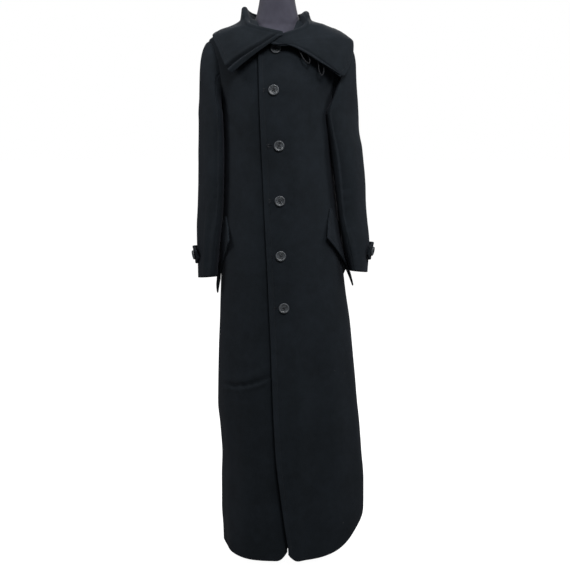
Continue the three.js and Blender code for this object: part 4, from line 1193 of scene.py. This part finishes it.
def collar_grid():
    """The collar from its right front end round to its left one: a stand, a half-round roll, and a fall that
    lies on a surface over the shoulders."""
    middle = np.linspace(0.06, 0.94, 150)[1:-1]
    share = np.concatenate([np.linspace(0, 0.06, 25), middle, np.linspace(0.94, 1, 25)])
    c = read(COLLAR, "share", share)
    neck_angle = np.radians(c["neck"])
    neck = body_points(neck_angle, NECK_Z - neck_drop(neck_angle))
    ring = np.hypot(neck[:, 0], neck[:, 1])
    neck[:, :2] *= (1 - STAND_INSET / ring)[:, None]
    neck[:, 2] += STAND_RISE
    foot = c["top"] - c["radius"]
    surface = read(COLLAR_SURFACE, "z", foot)
    x, y = on_section(surface, np.radians(c["roll"]), c["lift"])
    outer = points(x, y, foot)
    away = points(x, y, 0 * x)
    away /= np.linalg.norm(away, axis=-1, keepdims=True)
    hub = outer - away * c["radius"][:, None]
    bend = np.radians(np.linspace(0, 180, 15))[:, None]
    roll = hub - away * (c["radius"] * np.cos(bend))[..., None]
    roll[..., 2] += c["radius"] * np.sin(bend)
    upright = neck + [0, 0, STAND_UPRIGHT]
    k = np.linspace(0, 1, 8)[:-1, None, None]
    stand = np.concatenate([neck[None], mix(upright, roll[0], k)])
    k = np.linspace(0, 1, 44)[1:, None]
    z = mix(foot, c["low"], k) - sag(c["bow"], k) - 7 * hump(k - 0.1, 0.1) * smooth(0.9, 1.0, share)
    x, y = on_section(read(COLLAR_SURFACE, "z", z), np.radians(mix(c["roll"], c["edge"], k)), c["lift"])
    grid = np.concatenate([stand, roll, points(x, y, z)])
    n = normals(grid, 1)
    from_right, from_left, _, from_low = from_edges(grid)
    row = np.arange(len(grid))[:, None]
    rim = np.minimum(np.minimum(from_right, from_left), from_low)
    front = grid[..., 1] < 0
    x, z = grid[..., 0], grid[..., 2]
    push = np.where(front, creases(x, z, COLLAR_FRONT_CREASES), creases(x, z, COLLAR_BACK_CREASES))
    push *= smooth(0, 22, rim)
    push += unevenness(from_right, z, 21, 0.7, 150.0) * smooth(4, 24, rim)
    band = mix(13, 21, smooth(24, 60, row))
    roll_up = hump(from_right - band * 0.42, band * 0.36) - hump(from_right - band, 4.2)
    push += COLLAR_BAND * roll_up
    push += 1.8 * hump(from_right - band - 10, 6.0)
    push += -2.6 * hump(from_left - 13, 5.0) + 4.4 * hump(from_left - 3.5, 6.5)
    push += (-0.7 * hump(from_low - 13, 2.0) + 0.5 * hump(from_low - 6, 4.5)) * smooth(0, 26, from_right)
    push *= smooth(22, 26, row)
    return grid + n * push[..., None]


def on_body_side(hand, z, depth, out):
    """A place on the body at a depth in front of (above zero) or behind the side seam."""
    section = read(BODY, "z", z)
    deep = np.where(depth >= 0, section["front"], section["back"])
    turn = angle_along(section, depth, deep)
    return body_points(hand * np.where(depth >= 0, turn, math.pi - turn), z, out)


def flap_grid(flap):
    """A pocket flap: straight lines from its sewn edge on the coat to its bowed free edge, pulled in below
    the seam by hug sin(pi v) (1 - v) and swelled by bulge sin(pi v^1.5)."""
    hand = flap["hand"]
    v = np.linspace(0, 1, 44)[:, None]
    u = np.linspace(0, 1, 56)[None, :]
    top = on_body_side(hand, mix(*flap["z"], u), mix(*flap["depth"], u), TURNED_CLOTH + FLAP_CLEAR)
    front, rear = (np.array([hand * p[0], p[1], p[2]]) for p in (flap["front"], flap["rear"]))
    away = np.array([hand * 0.9, -0.44, 0])
    bottom = mix(front, rear, u[..., None]) + away * (flap["bow"] * np.sin(math.pi * u))[..., None]
    grid = mix(top, bottom, v[..., None])
    hug = FLAP_HUG * np.sin(math.pi * v) * (1 - v)
    swell = flap["bulge"] * np.sin(math.pi * v**1.5) * smooth(0.15, 0.75, u)
    grid = clear_of_body(grid + away * (swell - hug)[..., None], TURNED_CLOTH + FLAP_CLEAR)
    n = normals(grid, -hand)
    across, last, down, free = from_edges(grid)
    rim = np.minimum(np.minimum(across, last), free)
    push = -0.8 * hump(rim - 8, 1.7) + 0.5 * hump(rim - 3.5, 3.0) - 0.9 * hump(down - 5, 2.0)
    push += unevenness(across, down, 31 + hand, 0.35, 80.0) * smooth(4, 16, rim)
    return grid + n * push[..., None]


def tab_stand_off(degrees, share):
    """How far a tab stands off its sleeve: more towards its free end and its upper side."""
    free = smooth(TAB_FROM, TAB_TO - 20, degrees)
    return TAB_CLEAR + TURNED_CLOTH + TAB_STAND * free * (0.55 + 0.45 * share)


def tab_point(arm, degrees, share):
    """A place on a tab's plain face: degrees round the sleeve and a share of its half width up."""
    z = arm["tab"] + TAB_WIDTH / 2 * share
    return sleeve_points(arm, z, np.radians(degrees), tab_stand_off(degrees, share))


def tab_grid(arm):
    """A cuff tab round the sleeve's outer side, narrowing to a point at its free end."""
    share = np.linspace(1, -1, 25)[:, None]
    even = np.linspace(TAB_FROM, TAB_TO - TAB_POINT, 40)[:-1]
    degrees = np.concatenate([even, np.linspace(TAB_TO - TAB_POINT, TAB_TO, 16)])[None, :]
    half = (TAB_WIDTH / 2) * np.minimum(1, 0.4 + 0.6 * (TAB_TO - degrees) / TAB_POINT)
    turn = np.radians(degrees) + 0 * share
    grid = sleeve_points(arm, arm["tab"] + half * share, turn, tab_stand_off(degrees, share))
    n = normals(grid, arm["hand"])
    _, point, upper, lower = from_edges(grid)
    rim = np.minimum(np.minimum(upper, lower), point)
    push = -0.6 * hump(rim - 6, 1.4) + 0.4 * hump(rim - 2.6, 2.4)
    return grid + n * push[..., None]


def wear_of(grid, *edges):
    """Rubbed places: exp(-(d / 5)^2), with d the distance from the nearest of the grid's named edges."""
    distance = dict(zip(("first", "last", "low", "high"), from_edges(grid)))
    return np.max([hump(distance[e], 5.0) for e in edges], axis=0)


def body_settle(side):
    """Keeps the inner face of a body panel on its own side of the side seam."""
    def settle(inner):
        inner = inner.copy()
        if side < 0:
            inner[..., 1] = np.minimum(inner[..., 1], -SEAM / 2)
        else:
            inner[..., 1] = np.maximum(inner[..., 1], SEAM / 2)
        return inner
    return settle


def button_mesh(name, radius, place, normal, spin):
    """A four-hole button: a polar height field with a dished face, a round rim, a bevelled back and pits
    -d exp(-(q / h)^4), q being the distance from the nearest hole's middle. Returns the button and the paths
    of its thread."""
    r = np.concatenate([np.linspace(0, 0.62, 42), np.linspace(0.64, 1, 26)])
    cols = 72
    f = 2 * math.pi * np.arange(cols) / cols
    key_r = [0, 0.5, 0.62, 0.7, 0.8, 0.88, 0.94, 0.98, 1.0]
    key_h = [0.56, 0.57, 0.6, 0.7, 0.97, 1.0, 0.93, 0.8, 0.6]
    h = BUTTON_THICK * np.interp(r, key_r, key_h)
    kernel = np.array([1, 2, 3, 2, 1.0]) / 9
    h = np.concatenate([h[:2], np.convolve(h, kernel, "same")[2:-2], h[-2:]])
    x, y = np.outer(r, np.cos(f)) * radius, np.outer(r, np.sin(f)) * radius
    q = np.hypot(np.abs(x) - HOLE_AWAY, np.abs(y) - HOLE_AWAY)
    pits = np.exp(-((q / HOLE_R) ** 4))
    top = np.stack([x, y, h[:, None] - HOLE_DEEP * pits], -1)
    low_r = np.array([0.985, 0.93, 0.84, 0.72, 0.36, 0.0])
    low_h = BUTTON_THICK * np.array([0.4, 0.22, 0.08, 0.0, 0.0, 0.0])
    low = np.stack([np.outer(low_r, np.cos(f)) * radius, np.outer(low_r, np.sin(f)) * radius,
                    low_h[:, None] + 0 * f[None]], -1)
    rings = np.concatenate([top[1:], low[:-1]])
    rows = len(rings)
    verts = np.concatenate([rings.reshape(-1, 3), [[0, 0, h[0]], [0, 0, 0]]])
    hub = fan(rows * cols, 0, cols)
    tail = fan(rows * cols + 1, (rows - 1) * cols, cols, flip=True)
    faces = np.concatenate([grid_faces(rows, cols, wrap=True)[:, ::-1], hub, tail])
    behind = np.zeros((len(low_r) - 1) * cols + 2)
    rim = np.concatenate([np.repeat(smooth(0.7, 0.86, r[1:]), cols), behind])
    # Mask of the painted shade in the bottoms of the holes, which the horn material darkens
    hole_shade = np.concatenate([pits[1:].reshape(-1), behind])
    c, s = math.cos(spin), math.sin(spin)
    side = np.cross([0, 0, 1.0], normal)
    side /= np.linalg.norm(side)
    to_world = np.array([[c, s, 0], [-s, c, 0], [0, 0, 1]]) @ np.stack([side, np.cross(normal, side), normal])
    piece = new_mesh(name, verts @ to_world + place, faces, {"rim": rim, "hole_shade": hole_shade})
    holes = HOLE_AWAY * np.array([[-1, -1], [-1, 1], [1, -1], [1, 1]])
    threads = []
    t = np.linspace(0, 1, 9)
    for a, b in ((0, 3), (1, 2)):
        for shift in (-0.35, 0.35):
            flat = mix(holes[a], holes[b], t[:, None]) + shift * np.array([0.7, -0.7 if a == 0 else 0.7])
            lift = BUTTON_THICK * 0.57 - 1.2 + 1.75 * np.sin(math.pi * t) ** 0.45
            threads.append(np.concatenate([flat, lift[:, None]], axis=1))
    return piece, np.array(threads) @ to_world + place


def front_surface(x, z):
    """The upper front's plain face at a place seen from the front."""
    return body_points(angle_across(read(BODY, "z", z), x), z, lap_raise(x, z))


def frame_at(surface, x, z, step):
    """The point and outward normal of a surface at (x, z), from differences over a step."""
    x, z = np.float64(x), np.float64(z)
    across = surface(x + step, z) - surface(x - step, z)
    up = surface(x, z + step) - surface(x, z - step)
    n = np.cross(across, up)
    return surface(x, z), n / np.linalg.norm(n)


def buttonhole(surface, x, z, length, width=1.5):
    """A worked buttonhole: purl stitches side by side round a slit with an eye, as paths of short arcs."""
    half = length / 2
    k = np.linspace(0, 1, 96, endpoint=False)
    turn = 2 * math.pi * k
    px = half * np.sign(np.cos(turn)) * np.abs(np.cos(turn)) ** 0.35
    pz = width * np.sign(np.sin(turn)) * np.abs(np.sin(turn)) ** 0.6
    pz *= 1 + 0.7 * hump(px + half - 2, 2.5)
    ring = surface(x + px, z + pz)
    outer = surface(x + px * (1 + 1.8 / half), z + pz * 2.1)
    n = frame_at(surface, x, z, 3.0)[1]
    t = np.linspace(0, 1, 4)[None, :, None]
    return mix(ring[:, None], outer[:, None], t) + n * (0.55 * np.sin(math.pi * np.clip(t, 0.08, 0.92)) - 0.1)


def inset_line(grid, sign, side, distance, trim=(0.0, 0.0), count=420):
    """A line at a distance inside one side of a grid, trimmed at both ends, with its normals."""
    upright = side in ("first", "last")
    spans = along(grid, 1) if upright else along(grid, 0).T
    near = side in ("first", "low")
    steps = np.arange(spans.shape[1])
    inside = np.array([np.interp(distance if near else span[-1] - distance, span, steps) for span in spans])
    each = np.arange(len(spans), dtype=float)
    rows, cols = (each, inside) if upright else (inside, each)
    line = sample(grid, rows, cols)
    s = along(line[None], 1)[0]
    at = np.linspace(trim[0], s[-1] - trim[1], count)
    rows, cols = np.interp(at, s, rows), np.interp(at, s, cols)
    return sample(grid, rows, cols), sample(normals(grid, sign), rows, cols)


class CoatCloth(bpy.types.PropertyGroup):
    """The cloth's colours and finish."""
    ground: bpy.props.FloatVectorProperty(
        name="Ground colour", description="Colour down in the nap",
        subtype="COLOR", size=3, min=0, max=1, default=(0.0044, 0.0062, 0.0080))
    raised: bpy.props.FloatVectorProperty(
        name="Raised colour", description="Colour of the raised fibres",
        subtype="COLOR", size=3, min=0, max=1, default=(0.0108, 0.0146, 0.0196))
    lint: bpy.props.FloatProperty(
        name="Lint", description="How bright the stray specks of lint are",
        min=0, max=1, subtype="FACTOR", default=0.35)
    sheen: bpy.props.FloatProperty(
        name="Sheen", description="Soft sheen of the nap at grazing angles",
        min=0, max=1, subtype="FACTOR", default=0.02)


class CoatStage(bpy.types.PropertyGroup):
    """The stage: floor, lights and camera."""
    floor_size: bpy.props.FloatProperty(
        name="Floor", description="Half width of the floor",
        min=2, max=60, unit="LENGTH", subtype="DISTANCE", default=30.0)
    distance: bpy.props.FloatProperty(
        name="Camera distance", description="From the coat's middle plane to the camera",
        min=1, max=10, unit="LENGTH", subtype="DISTANCE", default=2.7)
    height: bpy.props.FloatProperty(
        name="Camera height", description="Height of the camera over the floor",
        min=0, max=3, unit="LENGTH", subtype="DISTANCE", default=1.154)
    aside: bpy.props.FloatProperty(
        name="Camera aside", description="How far the camera stands to the wearer's left",
        min=-1, max=1, unit="LENGTH", subtype="DISTANCE", default=0.02)
    pitch: bpy.props.FloatProperty(
        name="Camera pitch", description="How far the camera looks down",
        min=-0.5, max=0.8, unit="ROTATION", subtype="ANGLE", default=math.radians(9.0))
    key_light: bpy.props.FloatProperty(
        name="Key light", description="Strength of the soft boxes",
        min=0, max=2000, unit="POWER", default=66.0)
    ambient: bpy.props.FloatProperty(
        name="Ambient", description="Strength of the light from all round",
        min=0, max=2, default=0.15)
    floor_glow: bpy.props.FloatProperty(
        name="Floor glow", description="How much the floor is lifted to white",
        min=0, max=1, default=0.985)


class COAT_OT_body(bpy.types.Operator):
    """Builds the two fronts and the back"""
    bl_idname = "coat.body"
    bl_label = "Fronts and back"

    def execute(self, context):
        cloth = cloth_material()
        grids = {
            "left_front": (front_grid(1), 1),
            "right_front": (front_grid(-1), -1),
            "back": (back_grid(), 1),
        }
        for node, (grid, sign) in grids.items():
            edges = ("first", "low") if node != "back" else ("low",)
            settle = body_settle(1 if node == "back" else -1)
            piece = shell(node + "_cloth", grid, CLOTH, sign, wear_of(grid, *edges), settle)
            finish_piece(piece, cloth, node)
        fronts = (grids["left_front"], grids["right_front"])
        lines = [inset_line(grid, sign, "first", 13, (4, 60), 900) for grid, sign in fronts]
        top_stitch("front_stitches", lines)
        return {"FINISHED"}


class COAT_OT_sleeves(bpy.types.Operator):
    """Builds the two halves of each sleeve"""
    bl_idname = "coat.sleeves"
    bl_label = "Sleeves"

    def execute(self, context):
        cloth = cloth_material()
        sides = (("right", RIGHT_ARM, RIGHT_SLEEVE_CREASES), ("left", LEFT_ARM, LEFT_SLEEVE_CREASES))
        for side, arm, table in sides:
            for part, middle in (("upper", 0.0), ("under", math.pi)):
                node = f"{side}_sleeve_{part}"
                grid = sleeve_grid(arm, middle, table, len(node) + (2 if side == "left" else 0))
                piece = shell(node + "_cloth", grid, CLOTH, -arm["hand"], wear_of(grid, "high"))
                finish_piece(piece, cloth, node)
        return {"FINISHED"}


class COAT_OT_collar(bpy.types.Operator):
    """Builds the collar with its stitching and the two cord loops under it"""
    bl_idname = "coat.collar"
    bl_label = "Collar"

    def execute(self, context):
        cloth = cloth_material()
        grid = collar_grid()
        piece = shell("collar_cloth", grid, TURNED_CLOTH, 1, wear_of(grid, "first", "last", "high"))
        finish_piece(piece, cloth, "collar")
        lines = [inset_line(grid, 1, "first", 11, (76, 12)), inset_line(grid, 1, "last", 11, (62, 12)),
                 inset_line(grid, 1, "high", 12, (12, 12), 900)]
        top_stitch("collar_stitches", lines)
        end = read(COLLAR, "share", 1.0)
        t = np.linspace(0, 1, 90)
        for k, (share, tilt) in enumerate(zip(LOOPS["share"], LOOPS["tilt"])):
            height = mix(end["top"] - end["radius"], end["low"], share) - sag(end["bow"], share)
            middle = math.radians(mix(end["roll"], end["edge"], share))
            swing, half = math.radians(tilt), LOOP_WIDTH / 2
            across = np.array([-half * 0.7, -half, -half, 0, half, half, half * 0.7])
            down = np.array([-LOOP_TUCK, 0, LOOP_LENGTH * 0.6, LOOP_LENGTH, LOOP_LENGTH * 0.6, 0, -LOOP_TUCK])
            to_side = across * math.cos(swing) + down * math.sin(swing)
            z = height + across * math.sin(swing) - down * math.cos(swing)
            section = read(COLLAR_SURFACE, "z", z)
            lift = end["lift"] - TURNED_CLOTH - LOOP_R - LOOP_CLEAR
            x, y = on_section(section, middle + to_side / section["front"], lift)
            knots = points(x, y, z)
            name = f"cord_loop_{k + 1}"
            loop = tube(name, spline(knots, t), LOOP_R * 0.96, sides=12, twist=1.5, depth=0.12)
            finish_piece(loop, cord_material(), f"collar_loop_{k + 1}")
        return {"FINISHED"}


class COAT_OT_flaps(bpy.types.Operator):
    """Builds the two pocket flaps"""
    bl_idname = "coat.flaps"
    bl_label = "Pocket flaps"

    def execute(self, context):
        cloth = cloth_material()
        for node, flap in FLAPS.items():
            grid, sign = flap_grid(flap), -flap["hand"]
            piece = shell(node + "_cloth", grid, TURNED_CLOTH, sign, wear_of(grid, "first", "last", "high"))
            finish_piece(piece, cloth, node)
            lines = [inset_line(grid, sign, "first", 7, (3, 7)), inset_line(grid, sign, "last", 7, (3, 7)),
                     inset_line(grid, sign, "high", 7, (7, 7)), inset_line(grid, sign, "low", 4, (4, 4))]
            top_stitch(node + "_stitches", lines)
        return {"FINISHED"}


class COAT_OT_tabs(bpy.types.Operator):
    """Builds the two cuff tabs"""
    bl_idname = "coat.tabs"
    bl_label = "Cuff tabs"

    def execute(self, context):
        cloth = cloth_material()
        for side, arm in (("right", RIGHT_ARM), ("left", LEFT_ARM)):
            grid, sign = tab_grid(arm), arm["hand"]
            node = side + "_cuff_tab"
            piece = shell(node + "_cloth", grid, TURNED_CLOTH, sign, wear_of(grid, "last", "low", "high"))
            finish_piece(piece, cloth, node)
            lines = [inset_line(grid, sign, "low", 5, (2, 5)), inset_line(grid, sign, "high", 5, (2, 5)),
                     inset_line(grid, sign, "last", 5, (5, 5))]
            top_stitch(side + "_tab_stitches", lines)
        return {"FINISHED"}


class COAT_OT_buttons(bpy.types.Operator):
    """Builds the horn buttons with their thread, and the worked buttonholes"""
    bl_idname = "coat.buttons"
    bl_label = "Buttons and buttonholes"

    def execute(self, context):
        shine = stored("mottled_horn", horn)
        strands = []
        for k, (x, z) in enumerate(zip(BUTTONS["x"], BUTTONS["z"])):
            place, n = frame_at(front_surface, x, z, BUTTON_R)
            name = f"button_{k + 1}"
            piece, threads = button_mesh(name + "_horn", BUTTON_R, place + n * BUTTON_GAP, n, 0.5 + 0.7 * k)
            finish_piece(piece, shine, name)
            strands.append(threads)
        for name, arm in (("right_cuff_button", RIGHT_ARM), ("left_cuff_button", LEFT_ARM)):
            at = np.float64(TAB_BUTTON)
            across = tab_point(arm, at + 6, 0.0) - tab_point(arm, at - 6, 0.0)
            up = tab_point(arm, at, 0.4) - tab_point(arm, at, -0.4)
            n = np.cross(across, up) * -arm["hand"]
            n /= np.linalg.norm(n)
            place = tab_point(arm, at, 0.0) + n * BUTTON_GAP
            piece, threads = button_mesh(name + "_horn", CUFF_BUTTON_R, place, n, 0.3)
            finish_piece(piece, shine, name)
            strands.append(threads)
        shown = zip(BUTTONS["x"][1:], BUTTONS["z"][1:])
        arcs = [buttonhole(front_surface, x - BUTTONHOLE_SHIFT, z, BUTTONHOLE) for x, z in shown]
        finish_piece(tube("buttonholes", np.concatenate(arcs), 0.36, sides=6), stitch_material())
        thread = tube("button_threads", np.concatenate(strands), 0.42, sides=8)
        finish_piece(thread, stitch_material())
        return {"FINISHED"}


class COAT_OT_form(bpy.types.Operator):
    """Builds the dress form's smooth covered torso and finishes its pole and base"""
    bl_idname = "coat.form"
    bl_label = "Dress form"

    def execute(self, context):
        z = np.unique(np.concatenate([np.linspace(FORM_FOOT, FORM_TOP, 180), FORM["z"]]))[:, None]
        cols = 120
        f = (2 * math.pi * np.arange(cols) / cols)[None, :]
        x, y = on_section(read(FORM, "z", z), f + 0 * z)
        rings = points(x, y, z + 0 * f)
        k = np.array([0.96, 0.86, 0.66, 0.4, 0.15])[:, None, None]
        lid = rings[-1] * k
        lid[..., 2] = FORM_TOP + FORM_LID * np.sqrt(1 - k[..., 0] ** 2)
        base = rings[0] * k[::-1]
        base[..., 2] = FORM_FOOT
        rings = np.concatenate([base, rings, lid])
        rows = len(rings)
        verts = np.concatenate([rings.reshape(-1, 3), [[0, 0, FORM_FOOT], [0, 0, FORM_TOP + FORM_LID]]])
        faces = np.concatenate([
            grid_faces(rows, cols, wrap=True),
            fan(rows * cols, 0, cols, flip=True),
            fan(rows * cols + 1, (rows - 1) * cols, cols),
        ])
        piece = new_mesh("form_cover", verts, faces)
        finish_piece(piece, stored("form_jersey", jersey), "form_torso")
        for node in ("form_pole", "form_base"):
            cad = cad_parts[node]
            cad.data.materials.clear()
            cad.data.materials.append(stored("satin_paint", steel))
        return {"FINISHED"}


class COAT_OT_stage(bpy.types.Operator):
    """Sets the pale floor, the soft lights and the camera"""
    bl_idname = "coat.stage"
    bl_label = "Stage"

    def execute(self, context):
        scene = context.scene
        look = scene.coat_stage
        half = look.floor_size
        corners = np.array([[-half, -half, 0], [half, -half, 0], [half, half, 0], [-half, half, 0]]) / MM
        floor = new_mesh("floor", corners, np.array([[0, 1, 2, 3]]), smooth_faces=False)
        material, tree, shader = new_material("pale_floor")
        spots = noise(tree, object_coordinates(tree), 3.0, 3.0, 0.5)
        colour_to(tree, shader, spots, FLOOR)
        seen = tree.nodes.new("ShaderNodeLightPath").outputs["Is Camera Ray"]
        glow = blend_colour(tree, seen, (0.0, 0.0, 0.0), (look.floor_glow,) * 3)
        tree.links.new(glow, shader.inputs["Emission Color"])
        set_inputs(shader, Emission_Strength=1.0, Roughness=0.9, Specular_IOR_Level=0.1)
        floor.data.materials.append(material)
        world = bpy.data.worlds.new("studio")
        world.use_nodes = True
        sky = world.node_tree
        backdrop = sky.nodes["Background"]
        seen = sky.nodes.new("ShaderNodeLightPath").outputs["Is Camera Ray"]
        sky.links.new(remap(sky, seen, 0.0, 1.0, look.ambient, 1.0), backdrop.inputs["Strength"])
        backdrop.inputs["Color"].default_value = (1, 1, 1, 1)
        scene.world = world
        for name, place, target, size, power in SOFT_BOXES:
            light = bpy.data.lights.new(name, "AREA")
            light.energy, light.size = look.key_light * power, size
            lamp = bpy.data.objects.new(name, light)
            scene.collection.objects.link(lamp)
            aim(lamp, place, target)
        camera = bpy.data.cameras.new("camera")
        camera.sensor_width = SENSOR
        camera.lens = SENSOR * FOCAL_PIXELS / PICTURE_PIXELS
        eye = bpy.data.objects.new("camera", camera)
        scene.collection.objects.link(eye)
        eye.location = (look.aside, -look.distance, look.height)
        eye.rotation_euler = (math.pi / 2 - look.pitch, 0, 0)
        scene.camera = eye
        scene.view_settings.view_transform = "Standard"
        return {"FINISHED"}


def aim(thing, place, target):
    """Puts a light at a place and turns it to a target."""
    thing.location = place
    thing.rotation_euler = (Vector(target) - Vector(place)).to_track_quat("-Z", "Y").to_euler()


class COAT_PT_panel(bpy.types.Panel):
    """The overcoat's pieces in the sidebar"""
    bl_label = "Overcoat"
    bl_space_type = "VIEW_3D"
    bl_region_type = "UI"
    bl_category = "Overcoat"

    def draw(self, context):
        scene = context.scene
        for group in (scene.coat_cloth, scene.coat_stage):
            for name in type(group).__annotations__:
                self.layout.prop(group, name)
        for operator in OPERATORS:
            self.layout.operator(operator.bl_idname)


OPERATORS = (COAT_OT_body, COAT_OT_sleeves, COAT_OT_collar, COAT_OT_flaps, COAT_OT_tabs, COAT_OT_buttons,
             COAT_OT_form, COAT_OT_stage)
CLASSES = (CoatCloth, CoatStage, *OPERATORS, COAT_PT_panel)


def register():
    """Adds the classes and the two groups of settings."""
    for each in CLASSES:
        bpy.utils.register_class(each)
    bpy.types.Scene.coat_cloth = bpy.props.PointerProperty(type=CoatCloth)
    bpy.types.Scene.coat_stage = bpy.props.PointerProperty(type=CoatStage)


def unregister():
    """Takes them away again."""
    del bpy.types.Scene.coat_stage
    del bpy.types.Scene.coat_cloth
    for each in reversed(CLASSES):
        bpy.utils.unregister_class(each)


def main():
    """Builds the whole dressed coat."""
    register()
    bpy.ops.coat.body()
    bpy.ops.coat.sleeves()
    bpy.ops.coat.collar()
    bpy.ops.coat.flaps()
    bpy.ops.coat.tabs()
    bpy.ops.coat.buttons()
    bpy.ops.coat.form()
    bpy.ops.coat.stage()


if __name__ == "__main__":
    main()
